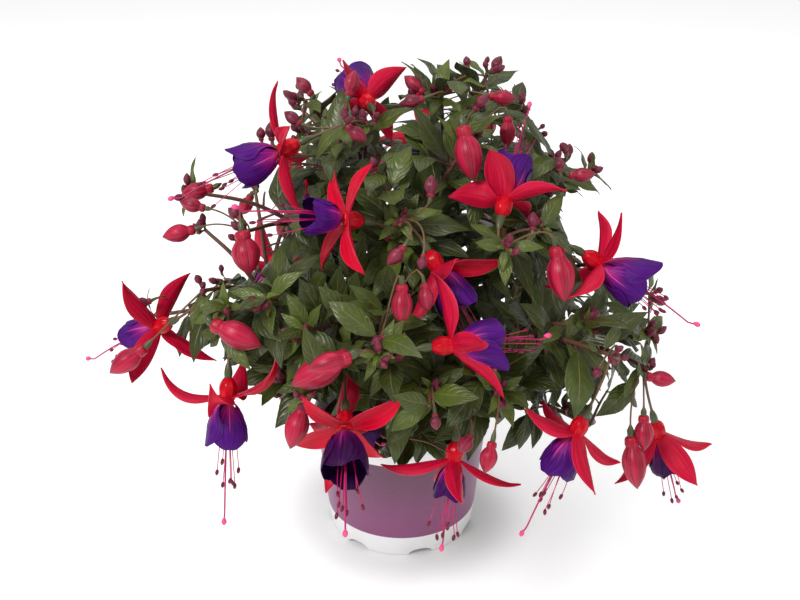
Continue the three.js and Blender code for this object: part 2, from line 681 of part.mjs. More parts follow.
stems.forEach((stem, number) => {
  stem.shoots.forEach((shoot, i) => {
    for (const leaf of leavesOn(shoot, number * 10 + i, i >= stem.flowerCount)) {
      const solid = fittedLeaf(leaf, stem.name);
      if (solid) stem.parts.push(remember(stem.name, solid));
    }
  });
  solids.set(stem.name, { solid: wasm.Manifold.union(stem.parts), kind: 'stem' });
});

const group = new THREE.Group();
for (const [name, { solid, kind }] of solids) group.add(toMesh(name, solid, kind));

export default group;
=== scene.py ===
import math
import random

import bpy
import numpy as np
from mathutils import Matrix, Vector
from mathutils.bvhtree import BVHTree
from mathutils.kdtree import KDTree


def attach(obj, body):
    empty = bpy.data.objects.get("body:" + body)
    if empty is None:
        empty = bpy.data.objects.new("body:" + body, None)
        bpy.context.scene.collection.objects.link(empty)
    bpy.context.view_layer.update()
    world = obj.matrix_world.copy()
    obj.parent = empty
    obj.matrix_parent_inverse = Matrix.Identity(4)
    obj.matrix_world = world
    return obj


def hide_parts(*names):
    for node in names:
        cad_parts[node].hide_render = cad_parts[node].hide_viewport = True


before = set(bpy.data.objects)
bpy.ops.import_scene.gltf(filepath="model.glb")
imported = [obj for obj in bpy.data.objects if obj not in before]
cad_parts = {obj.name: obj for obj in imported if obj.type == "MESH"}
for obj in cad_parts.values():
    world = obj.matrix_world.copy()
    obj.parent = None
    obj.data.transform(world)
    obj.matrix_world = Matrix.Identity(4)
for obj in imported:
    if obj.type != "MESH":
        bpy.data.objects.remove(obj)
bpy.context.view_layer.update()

METRE = 0.001
UP = np.array((0.0, 0.0, 1.0))
OBJECT_COORDINATES = 3
STREAK_TURN = 40

# Pot and soil
POT_HEIGHT = 88
POT_RIM_RADIUS = 60
POT_BASE_RADIUS = 50
POT_WALL = 1.7
POT_LIP = 2.6
POT_FLOOR = 7
POT_SIDES = 168
COLLAR_FROM = 76.5
COLLAR_RADIUS = 58
COLLAR_STEP = 1
FOOT_GAPS = 7
FOOT_GAP_WIDTH = 17
FOOT_GAP_HEIGHT = 4.5
FOOT_GAP_DEPTH = 5
FOOT_GAP_START = -75
POT_SHARP = 35
BAND_FROM = 15.3
BAND_TO = 75.8
BAND_RISE = 2.2
BAND_PROUD = 0.08
BAND_INSIDE = 0.9975
SOIL_TOP = 76
SOIL_CROWN = 80

# Stems, shoots and stalks
STEM_HOLE_DEPTH = 12
STEM_STEPS = 4
STEM_LIFT = 0.62
STEM_RADIUS = (2.6, 1.7)
SHOOT_RADIUS = (1.5, 1.1)
STALK_RADIUS = 0.75
CROWN_RADIUS = 30
SHOOT_SHARES = (0.42, 0.54, 0.66, 0.78, 0.9)
BUD_SHARES = (0.45, 0.7, 0.98)
SHOOT_LIFT = 0.08
STALK_LENGTH = 20
STALK_RISE = 10
SEAT_GAP = 0.3

# Flowers
OVARY_LENGTH = 8
OVARY_RADIUS = 2.6
TUBE_LENGTH = 12
TUBE_RADIUS = 4.7
SEPAL_LENGTH = 36
SEPAL_WIDTH = 13
SEPAL_ROOT = 2.8
SEPAL_CURL = 0.2
SEPAL_GRID = (26, 9)
COROLLA_LENGTH = 27
COROLLA_START = 0.55
COROLLA_PROFILE = ((0, 2.2), (0.05, 4.6), (0.14, 7.4), (0.32, 10.2), (0.6, 12.2), (0.85, 12.6), (1, 12.2))
PETALS = (
    {"count": 4, "span": 72, "reach": 1.0, "girth": 1, "grid": (18, 13)},
    {"count": 3, "span": 48, "reach": 0.74, "girth": 0.72, "grid": (12, 9)},
)
STYLE_RADIUS = 0.45
STIGMA_RADIUS = 1.4
FILAMENTS = 7
FILAMENT_RADIUS = 0.25
ANTHER_LENGTH = 3.2
SEPAL_TRIES = ((0, 1), (12, 1), (-12, 1), (24, 1), (-24, 1), (0, 0.8), (24, 0.8), (-24, 0.8), (36, 0.7))

# Leaves
LEAF_LENGTH = 37
LEAF_WIDTH = 17
LEAF_THICK = 1.1
LEAF_NECK = 0.1
LEAF_DROOP = 0.16
LEAF_SEAT = 0.5
LEAF_TURNS = (0, 0.35, -0.35, 0.7, -0.7)
LEAF_VEINS = 6
VEIN_SLANT = 1.9
PAIR_SHARE = 0.72
LONE_SHARE = 0.42
LONE_SKIP = 8
TIP_SHARE = 0.97
SMALL_GRID = (11, 5)
# Leaves that the scene adds to each shoot: place on it, size and slimness
SHOOT_LEAVES = ((0.94, 0.62, 0.8), (0.8, 0.55, 0.75), (0.62, 0.66, 0.8), (0.5, 0.92, 0.9), (0.28, 0.9, 0.95))
STEM_LEAVES = (0.45, 0.55, 0.65, 0.75, 0.85, 0.96)
SMALL_TURNS = (0, 0.5, -0.5, 1.0, -1.0)
SHOOT_LEAF_LENGTH = 36
STEM_LEAF_LENGTH = 34
YOUNG_LENGTHS = (18, 13, 8)
YOUNG_FROM = 150
# Twigs that fill the crown: how far apart their tips stand, how far from their roots, how high and
# how clear of the flowers
TWIGS = 230
TWIG_SPACING = 17
TWIG_REACH = (9, 46)
TWIG_ROOT_FROM = 104
TWIG_FROM = 112
TWIG_CLEAR = 5
TWIG_SCATTER = 16
TWIG_RADIUS = (0.9, 0.6)
# Leaves of a twig: place on it and size, and their least and greatest length
TWIG_LEAVES = ((0.55, 1), (0.96, 0.8))
TWIG_LEAF_LENGTH = (24, 38)
CROWN_MIDDLE = (0, -5, 175)
# Shoots whose tips stand out of the mass of leaves, or before a flower
FREE_TIPS = ((-148, -70, 190), (-122, -44, 258), (160, -8, 176), (112, -18, 262), (142, -84, 186))

# Buds
BUD_PLUMP = 0.9
BUD_FATNESS = 0.215
BUD_PROFILE = (
    (0.20, -0.5), (0.50, -0.465), (0.56, -0.40), (0.58, -0.34), (0.52, -0.30), (0.68, -0.24),
    (0.91, -0.13), (1, -0.01), (0.95, 0.11), (0.75, 0.26), (0.40, 0.39),
)

# Colours
LEAF_DARK = (0.029, 0.041, 0.004)
LEAF_PALE = (0.140, 0.200, 0.018)
LEAF_DULL = (0.048, 0.052, 0.012)
LEAF_DEEP = (0.014, 0.021, 0.006)
LEAF_VEIN = (0.100, 0.120, 0.045)
LEAF_RIB = (0.200, 0.140, 0.070)
LEAF_EDGE = (0.15, 0.16, 0.075)
LEAF_UNDER = (0.150, 0.175, 0.085)
BARK_DARK = (0.050, 0.014, 0.014)
BARK_PALE = (0.120, 0.036, 0.030)
SHOOT_RED = (0.125, 0.042, 0.032)
SHOOT_GREEN = (0.135, 0.100, 0.034)
OVARY_GREEN = (0.062, 0.072, 0.030)
SEPAL_IN_DARK = (0.46, 0.0005, 0.017)
SEPAL_IN_BRIGHT = (0.66, 0.001, 0.030)
SEPAL_OUT_DARK = (0.42, 0.0012, 0.022)
SEPAL_OUT_BRIGHT = (0.62, 0.008, 0.052)
SEPAL_VEIN = (0.30, 0.0006, 0.014)
SEPAL_ROOT_RED = (0.56, 0.004, 0.008)
# Painted sheen along the sepal edges
SEPAL_EDGE_PAINTED_SHEEN = (0.72, 0.07, 0.12)
TUBE_DARK = (0.42, 0.0015, 0.009)
TUBE_BRIGHT = (0.58, 0.006, 0.018)
VIOLET_DARK = (0.040, 0.003, 0.100)
VIOLET_BRIGHT = (0.086, 0.006, 0.190)
PLUM_DARK = (0.018, 0.0012, 0.026)
PLUM_BRIGHT = (0.044, 0.003, 0.062)
PETAL_FAN = (0.42, 0.010, 0.22)
# Painted highlight along the middle of each petal at its root
PETAL_RAY_PAINTED_HIGHLIGHT = (0.80, 0.13, 0.34)
PETAL_EDGE = (0.14, 0.04, 0.30)
# Painted shade inside the bell
PETAL_INSIDE_PAINTED_SHADE = (0.012, 0.001, 0.030)
BUD_DARK = (0.22, 0.0012, 0.017)
BUD_BRIGHT = (0.45, 0.007, 0.044)
BUD_VEIN = (0.16, 0.0008, 0.012)
SMALL_BUD_DARK = (0.095, 0.008, 0.022)
SMALL_BUD_BRIGHT = (0.190, 0.024, 0.050)
BUD_TUBE = (0.34, 0.002, 0.012)
BUD_TIP = (0.17, 0.04, 0.05)
BUD_SEAM = (0.11, 0.004, 0.014)
# Painted highlight beside the bud seams
BUD_SEAM_PAINTED_HIGHLIGHT = (0.55, 0.09, 0.15)
BUD_SHEEN = {"Sheen Weight": 0.035, "Sheen Roughness": 0.4, "Sheen Tint": (1.0, 0.75, 0.8)}
THREAD_DARK = (0.32, 0.004, 0.060)
THREAD_BRIGHT = (0.52, 0.010, 0.13)
ANTHER_RED = (0.13, 0.004, 0.024)
STIGMA_PINK = (0.74, 0.07, 0.22)
POT_WHITE = (0.83, 0.83, 0.83)
POT_DUST = (0.78, 0.78, 0.775)
BAND_LOW = (0.225, 0.052, 0.155)
# Painted shade at the top of the band, where the leaves overhang it
BAND_TOP_PAINTED_SHADE = (0.120, 0.040, 0.082)
# Painted reflection on the band's right side
BAND_RIGHT_PAINTED_REFLECTION = (0.24, 0.10, 0.20)
BAND_GRAIN = (0.35, 0.2, 0.32)
SOIL_DARK = (0.012, 0.008, 0.006)
SOIL_BROWN = (0.075, 0.050, 0.035)
SOIL_GRIT = (0.30, 0.27, 0.22)
FLOOR_WHITE = (0.80, 0.80, 0.80)

# Studio: lens and sensor in millimetres, the floor in metres, and each light's name, place, what it
# points at, size in metres and power in watts
CAMERA_LENS = 50
SENSOR_WIDTH = 36
FLOOR_REACH = 12
WORLD_LIGHT = 0.45
LIGHTS = (
    ("key", (-0.9, -1.2, 1.6), (0, 0, 0.18), (0.7, 0.5), 31),
    ("fill", (1.3, -0.9, 1.0), (0, 0, 0.18), (1.0, 1.0), 5),
    ("top", (0.1, 0.5, 1.9), (0, 0, 0.2), (1.4, 1.0), 11),
)

# Leaves stay beside the sight line from each front flower or bud toward the eye
EYE = (-1, -660, 476)
EYE_DIP = 0.437
OPEN_REACH = 80
OPEN_RADIUS = 15
OPEN_BUD_RADIUS = 7
OPEN_SEPAL_RADIUS = 6

# Leaf mass as seen by that eye, at true size at the plant's middle: height, left and right limit
MIDDLE_DISTANCE = 715
LEAF_MASS = (
    (-106, -10, 24), (-96, -18, 93), (-84, -30, 116), (-71, -96, 154), (-51, -104, 158),
    (-32, -149, 164), (0, -134, 156), (13, -116, 132), (24, -84, 116), (51, -70, 106),
    (64, -89, 106), (77, -88, 129), (96, -70, 96), (135, -68, 80), (147, -14, 80), (160, 22, 70),
)

# Small buds at the growing tips: middle, length, heading and dip
SMALL_BUDS = (
    (-78, -64, 299, 8, 99, 65), (-89, -106, 268, 9, 159, 38), (-145, -99, 212, 11, -174, -13),
    (39, 2, 324, 7, 111, 63), (68, -120, 269, 10, 90, 65), (86, -81, 287, 8, 90, 65),
    (10, -151, 259, 8, -114, -63), (113, -140, 199, 9, -114, -63), (17, -178, 183, 9, -75, -64),
    (-12, -168, 224, 8, -165, -28), (102, -150, 196, 7, -140, -54),
)

# Flower: middle of its star, heading and dip, roll, how far each sepal's tip lies back, length of
# its style, where its stalk leaves the shoot if not above, and sizes of sepals, corolla and curl
class Flower:
    def __init__(self, star, aim, roll, tips, style, node=None, long=1.0, bell=1.0, curl=SEPAL_CURL):
        self.star, self.aim, self.roll, self.tips, self.style = star, aim, roll, tips, style
        self.node, self.long, self.bell, self.curl = node, long, bell, curl


FLOWERS = {
    "a": Flower((-67, -77, 293), (191, -21), 100, (19, -6, 16, 20), 66, node=(-30, -70, 307)),
    "b": Flower((-31, -122, 271), (204, 15), 132, (2, 0, -1, 6), 60, node=(-3, -106, 253), bell=0.8),
    "c": Flower((-21, -36, 312), (106, 7), 127, (7, -2, 9, -15), 66, node=(-18, -74, 307), long=0.76),
    "d": Flower((55, -105, 277), (71, 39), 56, (-12, -18, -3, -18), 62, node=(53, -135, 260), long=0.85,
                bell=0.85),
    "e": Flower((-138, -100, 197), (151, -31), 38, (13, 12, -5, 19), 68, bell=0.82),
    "f": Flower((-92, -151, 180), (262, -71), 155, (25, 51, 20, 21), 68, bell=0.9, curl=0.6),
    "g": Flower((-29, -174, 175), (-88, -25), 102, (7, 0, 7, -2), 60, long=0.93),
    "h": Flower((27, -166, 150), (-111, -69), 42, (-11, -38, -16, -21), 48, node=(16, -150, 186), bell=0.7),
    "i": Flower((92, -153, 159), (196, -65), 154, (-17, -24, 12, -3), 66, bell=0.88),
    "j": Flower((150, -108, 130), (12, -70), -28, (-42, -24, -31, -31), 52, bell=0.85),
    "k": Flower((108, -108, 239), (-7, -31), 0, (18, 18, 21, 15), 65, node=(74, -96, 256)),
    "l": Flower((27, -157, 216), (10, 1), 39, (-15, -55, 7, 9), 51, node=(-12, -168, 216), bell=0.92),
    "m": Flower((20, -123, 242), (-42, -49), 7, (-6, -34, -71, -22), 60, node=(-2, -116, 268), long=0.96,
                bell=0.9),
    "n": Flower((-33, -138, 156), (60, -39), 151, (-3, -37, 3, 37), 60, long=0.95),
    "o": Flower((84, 92, 205), (55, -40), 15, (20, 8, 26, 14), 66),
    "p": Flower((18, 132, 240), (95, -30), 60, (24, 30, 12, 18), 68),
    "q": Flower((-68, 112, 212), (130, -35), 35, (10, 22, 16, 4), 70),
    "r": Flower((-96, 96, 150), (150, -62), 0, (30, 18, 26, 22), 66),
    "s": Flower((92, 138, 150), (50, -72), 50, (14, 20, 6, 24), 70),
    "t": Flower((-32, 160, 162), (110, -70), 25, (22, 28, 14, 30), 64),
}

# How wide each sepal of a front flower looks from the eye
SEEN_WIDTHS = {
    "a": (7, 4.5, 6.5, 2.5), "b": (5, 6.5, 4.5, 5.5), "c": (10, 7, 6, 12.5), "d": (6.5, 6.5, 13.5, 14.5),
    "e": (8.5, 6, 11, 8.5), "f": (13, 4.5, 11, 3.5), "g": (9.5, 7.5, 10, 7.5), "h": (3, 12.5, 3.5, 6),
    "i": (5, 6.5, 5.5, 5), "j": (4, 12.5, 7.5, 6), "k": (4.5, 5.5, 8.5, 7), "l": (10, 7, 5, 6.5),
    "m": (5, 7, 9, 9), "n": (11, 8.5, 10, 7.5),
}
# Flowers with a petal that stands off, and which one
LIFTED = {"k": 0, "l": 1}
# Flowers whose corolla is older and darker, or fresher, than by chance
AGES = {"g": 0.9, "h": 0.6, "j": 0.6, "a": -0.3, "b": -0.3, "k": -0.5, "l": -0.2, "f": -0.1}

# Main stems: end, the flowers that they carry and the tips of their other shoots
STEMS = {
    "left": ((-88, -62, 204), "e", ((-148, -70, 190), (-118, -38, 232))),
    "front_left": ((-56, -92, 204), "fn", ((-70, -136, 232), (-64, -112, 168))),
    "front": ((-16, -108, 204), "gl", ((-50, -146, 218), (-6, -158, 206))),
    "front_low": ((22, -98, 170), "h", ((52, -146, 182), (4, -112, 132))),
    "front_right": ((60, -92, 190), "i", ((96, -126, 212),)),
    "right_low": ((98, -58, 172), "j", ((142, -84, 186), (112, -92, 128))),
    "right": ((104, 4, 190), "", ((160, -8, 176), (142, 30, 120), (126, -44, 212))),
    "right_high": ((66, -30, 246), "dk", ((112, -18, 262), (92, -64, 284))),
    "centre": ((4, -62, 236), "bm", ((36, -76, 298),)),
    "left_high": ((-58, -28, 240), "a", ((-122, -44, 258), (-86, -92, 252))),
    "top_left": ((-26, 4, 268), "c", ((-58, -22, 308), (-64, 34, 286))),
    "top_right": ((30, 14, 280), "", ((22, -30, 312), (52, 4, 316), (76, 44, 284))),
    "back_right": ((74, 66, 196), "os", ((128, 50, 168), (102, 62, 240))),
    "back": ((14, 92, 206), "pt", ((40, 156, 190), (-30, 104, 262))),
    "back_left": ((-62, 74, 190), "q", ((-86, 132, 172), (-24, 138, 118))),
    "left_back": ((-98, 20, 184), "r", ((-118, 24, 172), (-98, 46, 226))),
}

# Buds: middle, length, heading, dip, and fatness where it isn't usual
BUDS = (
    (-56, -29, 317, 14, 155, 43), (-60, -64, 308, 12, 162, 33), (-24, -90, 307, 14, -28, -29),
    (-27, -66, 328, 15, 58, 61), (-73, -59, 299, 11, 103, 64), (-115, -68, 267, 19, -175, -11),
    (-115, -85, 265, 15, 173, 14), (-123, -89, 250, 19, -174, -12), (-81, -127, 254, 24, -60, -72, 1.25),
    (-148, -131, 193, 24, -163, -32), (-85, -150, 218, 29, -11, -22), (-41, -168, 207, 34, -168, -25),
    (-35, -184, 220, 22, -164, -9), (-54, -169, 175, 25, -126, -60), (7, -45, 322, 15, 160, 36),
    (6, -62, 317, 13, -175, -11), (60, 39, 314, 12, 36, 51), (57, -43, 314, 16, -3, -6),
    (44, -54, 314, 12, 26, 43), (35, -96, 298, 30, -57, -68), (58, -70, 302, 17, -90, -75),
    (15, -117, 287, 12, 84, 65), (99, -78, 280, 15, 1, 2), (82, -134, 245, 30, -63, -68),
    (-3, -145, 260, 13, -155, -42), (0, -160, 240, 21, -90, -75), (12, -152, 240, 15, -69, -70),
    (28, -175, 218, 16, -172, -16), (144, -119, 175, 17, -4, -8), (134, -134, 149, 21, -79, -75),
    (129, -139, 133, 31, -66, -70, 0.9), (44, -183, 165, 17, -124, -65), (32, -183, 173, 14, -115, -4),
    (64, 128, 250, 20, 45, -65), (-70, 48, 290, 13, 140, 0), (-106, 54, 214, 18, 160, -60),
    (-92, 144, 162, 20, 125, -70),
)


# Small maths helpers

def vec(point):
    return np.array(point, float)


def unit(v):
    return v / np.linalg.norm(v)


def heading(azimuth, dip):
    a, d = math.radians(azimuth), math.radians(dip)
    return vec((math.cos(d) * math.cos(a), math.cos(d) * math.sin(a), math.sin(d)))


# One even draw from 0 to 1 that depends only on its three numbers
def draw(one, two, three):
    value = math.sin(one * 12.9898 + two * 78.233 + three * 37.719) * 4375.85453
    return value - math.floor(value)


# An even draw from one number to another
def between(low, high, *three):
    return low + (high - low) * draw(*three)


# Points turned about their own Z
def spun(points, angle):
    c, s = math.cos(angle), math.sin(angle)
    x, y = points[..., 0], points[..., 1]
    return np.stack((c * x - s * y, s * x + c * y, points[..., 2]), axis=-1)


def circle(sides):
    return np.arange(sides) / sides * 2 * math.pi


# Origin and axes with Z along an axis and X turned by a roll about it
def frame_along(origin, axis, roll=0.0):
    side = vec((1, 0, 0)) if abs(axis[2]) > 0.95 else UP
    x = unit(side - axis * side.dot(axis))
    y = np.cross(axis, x)
    x = x * math.cos(roll) + y * math.sin(roll)
    return vec(origin), x, np.cross(axis, x), axis


def put(points, where):
    origin, x, y, z = where
    points = np.asarray(points, float)
    return origin + points[..., 0:1] * x + points[..., 1:2] * y + points[..., 2:3] * z


# A frame that is given in another one's own coordinates
def put_frame(local, where):
    still = (0, *where[1:])
    return (put(local[0], where), *(put(axis, still) for axis in local[1:]))


def bezier(p0, p1, p2, shares):
    t = np.asarray(shares)[:, None]
    return (1 - t) ** 2 * p0 + 2 * t * (1 - t) * p1 + t * t * p2


# Points at even lengths of a curve of one bend, and its length
def even_points(p0, p1, p2, shares):
    fine = bezier(p0, p1, p2, np.linspace(0, 1, 201))
    length = np.concatenate(([0], np.cumsum(np.linalg.norm(np.diff(fine, axis=0), axis=1))))
    found = np.interp(np.asarray(shares) * length[-1], length, np.linspace(0, 1, 201))
    return bezier(p0, p1, p2, found), length[-1]


# Point at an even share of a chain of points
def point_at(points, share):
    place = share * (len(points) - 1)
    low = min(int(place + 1e-6), len(points) - 2)
    return points[low] + (points[low + 1] - points[low]) * (place - low)


def tangent_at(points, share):
    half = 0.5 / (len(points) - 1)
    return unit(point_at(points, min(1, share + half)) - point_at(points, max(0, share - half)))


# Smooth curve through a chain of points
def smooth(points, steps):
    points = np.asarray(points, float)
    ends = np.vstack((2 * points[0] - points[1], points, 2 * points[-1] - points[-2]))
    made = []
    for i in range(len(points) - 1):
        a, b, c, d = ends[i:i + 4]
        t = np.linspace(0, 1, steps, endpoint=False)[:, None]
        made.append(0.5 * (2 * b + (c - a) * t + (2 * a - 5 * b + 4 * c - d) * t ** 2
                           + (3 * b - a - 3 * c + d) * t ** 3))
    return np.vstack(made + [points[-1:]])


# Bodies: each point has a form (across, along, shade) and a kind that its material reads

class Body:
    def __init__(self):
        self.points, self.faces, self.forms, self.kinds, self.count = [], [], [], [], 0

    def add(self, points, faces, forms, kind=0.0):
        points = np.asarray(points, float).reshape(-1, 3)
        self.points.append(points)
        self.faces += [[v + self.count for v in face] for face in faces]
        self.forms.append(np.asarray(forms, float).reshape(-1, 3))
        self.kinds.append(np.broadcast_to(np.asarray(kind, float), len(points)))
        self.count += len(points)

    def piece(self, name, slot, material, *nodes, sharp=50):
        mesh = bpy.data.meshes.new(name)
        mesh.from_pydata((np.vstack(self.points) * METRE).tolist(), [], self.faces)
        form = mesh.attributes.new("form", "FLOAT_VECTOR", "POINT")
        form.data.foreach_set("vector", np.vstack(self.forms).astype(np.float32).ravel())
        kind = mesh.attributes.new("kind", "FLOAT", "POINT")
        kind.data.foreach_set("value", np.concatenate(self.kinds).astype(np.float32))
        mesh.shade_smooth()
        mesh.set_sharp_from_angle(angle=math.radians(sharp))
        mesh.materials.append(material)
        mesh.validate()
        obj = bpy.data.objects.new(name, mesh)
        bpy.context.scene.collection.objects.link(obj)
        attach(obj, "root")
        if nodes:
            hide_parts(*nodes)
        return obj


def grid_faces(rows, cols, start=0, wrap=False, flip=False):
    faces = []
    for i in range(rows - 1):
        for j in range(cols if wrap else cols - 1):
            k = (j + 1) % cols
            face = [i * cols + j, i * cols + k, (i + 1) * cols + k, (i + 1) * cols + j]
            faces.append([v + start for v in (face[::-1] if flip else face)])
    return faces


# A thin closed sheet from a grid of points that its upper face passes through.
# Its kind is 0 above and 1 below.
def add_sheet(body, grid, thick, shade):
    rows, cols = grid.shape[:2]
    normal = np.cross(np.gradient(grid, axis=1), np.gradient(grid, axis=0))
    normal /= np.maximum(np.linalg.norm(normal, axis=2, keepdims=True), 1e-9)
    across, along = np.linspace(-1, 1, cols), np.linspace(0, 1, rows)
    edge = (1 - 0.6 * across ** 4)[None, :, None]
    count = rows * cols
    faces = grid_faces(rows, cols, flip=True) + grid_faces(rows, cols, count)
    rim = ([(0, j) for j in range(cols)] + [(i, cols - 1) for i in range(1, rows)]
           + [(rows - 1, j) for j in range(cols - 2, -1, -1)] + [(i, 0) for i in range(rows - 2, 0, -1)])
    ids = [i * cols + j for i, j in rim]
    faces += [[one, two, two + count, one + count] for one, two in zip(ids, ids[1:] + ids[:1])]
    form = np.stack(np.broadcast_arrays(across, along[:, None], shade), axis=-1)
    body.add((grid, grid + normal * thick * edge), faces, (form, form), np.repeat((0.0, 1.0), count))


# A closed tube through rings of points
def add_rings(body, rings, shade, kind=0.0):
    count, sides = rings.shape[:2]
    along = np.linspace(0, 1, count)[:, None]
    form = np.broadcast_arrays(np.arange(sides) / sides, along, np.reshape(shade, (-1, 1)))
    faces = grid_faces(count, sides, wrap=True)
    faces += [list(range(sides))[::-1], [(count - 1) * sides + j for j in range(sides)]]
    body.add(rings, faces, np.stack(form, axis=-1), kind)


# A round rod along points
def add_rod(body, points, radii, sides, shade):
    points = np.asarray(points, float)
    tangents = np.gradient(points, axis=0)
    tangents /= np.linalg.norm(tangents, axis=1, keepdims=True)
    x = frame_along(points[0], tangents[0])[1]
    c, s = np.cos(circle(sides))[:, None], np.sin(circle(sides))[:, None]
    rings = []
    for point, tangent, radius in zip(points, tangents, radii):
        x = unit(x - tangent * x.dot(tangent))
        rings.append(point + radius * (c * x + s * np.cross(tangent, x)))
    add_rings(body, np.array(rings), shade)


# A turned form from (radius, height) pairs, with its radius changed by swell(angles, share)
def add_turned(body, profile, sides, where, shade, swell=None, kind=0.0):
    angles = circle(sides)
    rings = []
    for i, (radius, height) in enumerate(profile):
        r = radius * (swell(angles, i / (len(profile) - 1)) if swell else np.ones(sides))
        rings.append(np.stack((r * np.cos(angles), r * np.sin(angles), np.full(sides, height)), axis=-1))
    add_rings(body, put(rings, where), shade, kind)


def smooth_profile(pairs, steps):
    made = smooth([(r, h, 0) for r, h in pairs], steps)
    return [(max(r, 0.02), h) for r, h, _ in made]


# Materials

class Shader:
    def __init__(self, name):
        self.material = bpy.data.materials.new(name)
        self.material.use_nodes = True
        self.tree = self.material.node_tree

    def feed(self, socket, value):
        if isinstance(value, bpy.types.NodeSocket):
            self.tree.links.new(value, socket)
        elif socket.type == "RGBA" and len(value) == 3:
            socket.default_value = (*value, 1)
        else:
            socket.default_value = value

    def node(self, kind, inputs=(), out=0, **settings):
        node = self.tree.nodes.new(kind)
        for key, value in settings.items():
            setattr(node, key, value)
        for key, value in dict(inputs).items():
            self.feed(node.inputs[key], value)
        return node.outputs[out]

    def math(self, operation, *values):
        return self.node("ShaderNodeMath", dict(enumerate(values)), operation=operation)

    def times(self, value, *others):
        for other in others:
            value = self.math("MULTIPLY", value, other)
        return value

    def less(self, one, two):
        return self.math("SUBTRACT", one, two)

    def size(self, value):
        return self.math("ABSOLUTE", value)

    # 0 at the middle of each whole step of a value, and 0.5 at its ends
    def off_middle(self, value):
        return self.size(self.less(self.math("FRACT", value), 0.5))

    # 0 to 1, or one share to another, as a value goes from low to high
    def ramp(self, value, low, high, to=(0, 1), kind="SMOOTHSTEP"):
        inputs = {"Value": value, "From Min": low, "From Max": high, "To Min": to[0], "To Max": to[1]}
        return self.node("ShaderNodeMapRange", inputs, interpolation_type=kind)

    def mix(self, share, one, two):
        inputs = {0: share, 6: one, 7: two}
        return self.node("ShaderNodeMix", inputs, out=2, data_type="RGBA")

    # Across, along and shade
    def form(self):
        whole = self.node("ShaderNodeAttribute", out=1, attribute_name="form")
        return list(self.node("ShaderNodeSeparateXYZ", {0: whole}).node.outputs)

    def kind(self):
        return self.node("ShaderNodeAttribute", out=2, attribute_name="kind")

    # Noise of a given grain size in millimetres
    def noise(self, grain, detail=3, rough=0.55, stretch=None):
        where = self.node("ShaderNodeTexCoord", out=OBJECT_COORDINATES)
        if stretch:
            where = self.node("ShaderNodeMapping", {"Vector": where, "Scale": (1, 1, stretch)})
        inputs = {"Vector": where, "Scale": 1 / (grain * METRE), "Detail": detail, "Roughness": rough}
        return self.node("ShaderNodeTexNoise", inputs)

    # Noise in streaks that run along a form, finer across it than along it
    def streaks(self, form, fine, long, scale):
        parts = {key: self.times(value, by) for key, value, by in zip("XYZ", form, (fine, long, STREAK_TURN))}
        where = self.node("ShaderNodeCombineXYZ", parts)
        return self.node("ShaderNodeTexNoise", {"Vector": where, "Scale": scale, "Detail": 3.0})

    def bump(self, height, distance, strength=1.0, below=None):
        inputs = {"Height": height, "Distance": distance, "Strength": strength}
        return self.node("ShaderNodeBump", inputs if below is None else {**inputs, "Normal": below})

    def surface(self, colour, rough, normal=None, shine=0.5, **others):
        values = {"Base Color": colour, "Roughness": rough, "Specular IOR Level": shine, **others}
        if normal is not None:
            values["Normal"] = normal
        for key, value in values.items():
            self.feed(self.tree.nodes["Principled BSDF"].inputs[key], value)
        return self.material


def leaf_material():
    s = Shader("leaf_green")
    across, along, shade = s.form()
    side = s.size(across)
    mottle = s.noise(7)
    green = s.mix(s.ramp(shade, 0, 1, kind="LINEAR"), LEAF_DARK, LEAF_PALE)
    green = s.mix(s.ramp(s.noise(46, 1), 0.35, 0.65, (0, 0.40)), green, LEAF_DULL)
    green = s.mix(s.ramp(mottle, 0.35, 0.7, (0, 0.30)), green, LEAF_DEEP)
    beat = s.off_middle(s.less(s.times(along, LEAF_VEINS), s.times(s.math("POWER", side, 1.5), VEIN_SLANT)))
    vein = s.times(s.ramp(beat, 0.01, 0.10, (1, 0)), s.ramp(side, 0.5, 0.98, (1, 0)),
                   s.ramp(along, 0.72, 0.95, (1, 0)))
    rib = s.times(s.ramp(side, 0.015, 0.07, (1, 0)), s.ramp(along, 0.6, 1.0, (1, 0.2)))
    colour = s.mix(s.times(vein, 0.20), green, LEAF_VEIN)
    colour = s.mix(s.times(rib, 0.60), colour, LEAF_RIB)
    colour = s.mix(s.ramp(side, 0.92, 1.0, (0, 0.30)), colour, LEAF_EDGE)
    colour = s.mix(s.kind(), colour, s.mix(0.60, colour, LEAF_UNDER))
    relief = s.less(s.times(s.ramp(beat, 0.0, 0.34), s.ramp(side, 0.05, 0.5, (0.4, 1))), rib)
    normal = s.bump(s.noise(1.1, 2), 0.0002, 0.35, s.bump(relief, 0.00045, 0.5))
    return s.surface(colour, s.ramp(mottle, 0.3, 0.7, (0.30, 0.46)), normal, 0.38)


# Shade is 0 to 1 from old to young wood, and 2 on the ovary behind a flower
def stem_material():
    s = Shader("stem_bark")
    shade = s.form()[2]
    old = s.mix(s.noise(4, stretch=0.25), BARK_DARK, BARK_PALE)
    young = s.mix(s.noise(6), SHOOT_RED, SHOOT_GREEN)
    colour = s.mix(s.ramp(shade, 0.5, 1.05), old, young)
    colour = s.mix(s.ramp(shade, 1.2, 1.8), colour, OVARY_GREEN)
    normal = s.bump(s.noise(1.6, stretch=0.3), 0.0003, 0.6)
    return s.surface(colour, s.ramp(shade, 1.2, 1.8, (0.52, 0.34)), normal, 0.35)


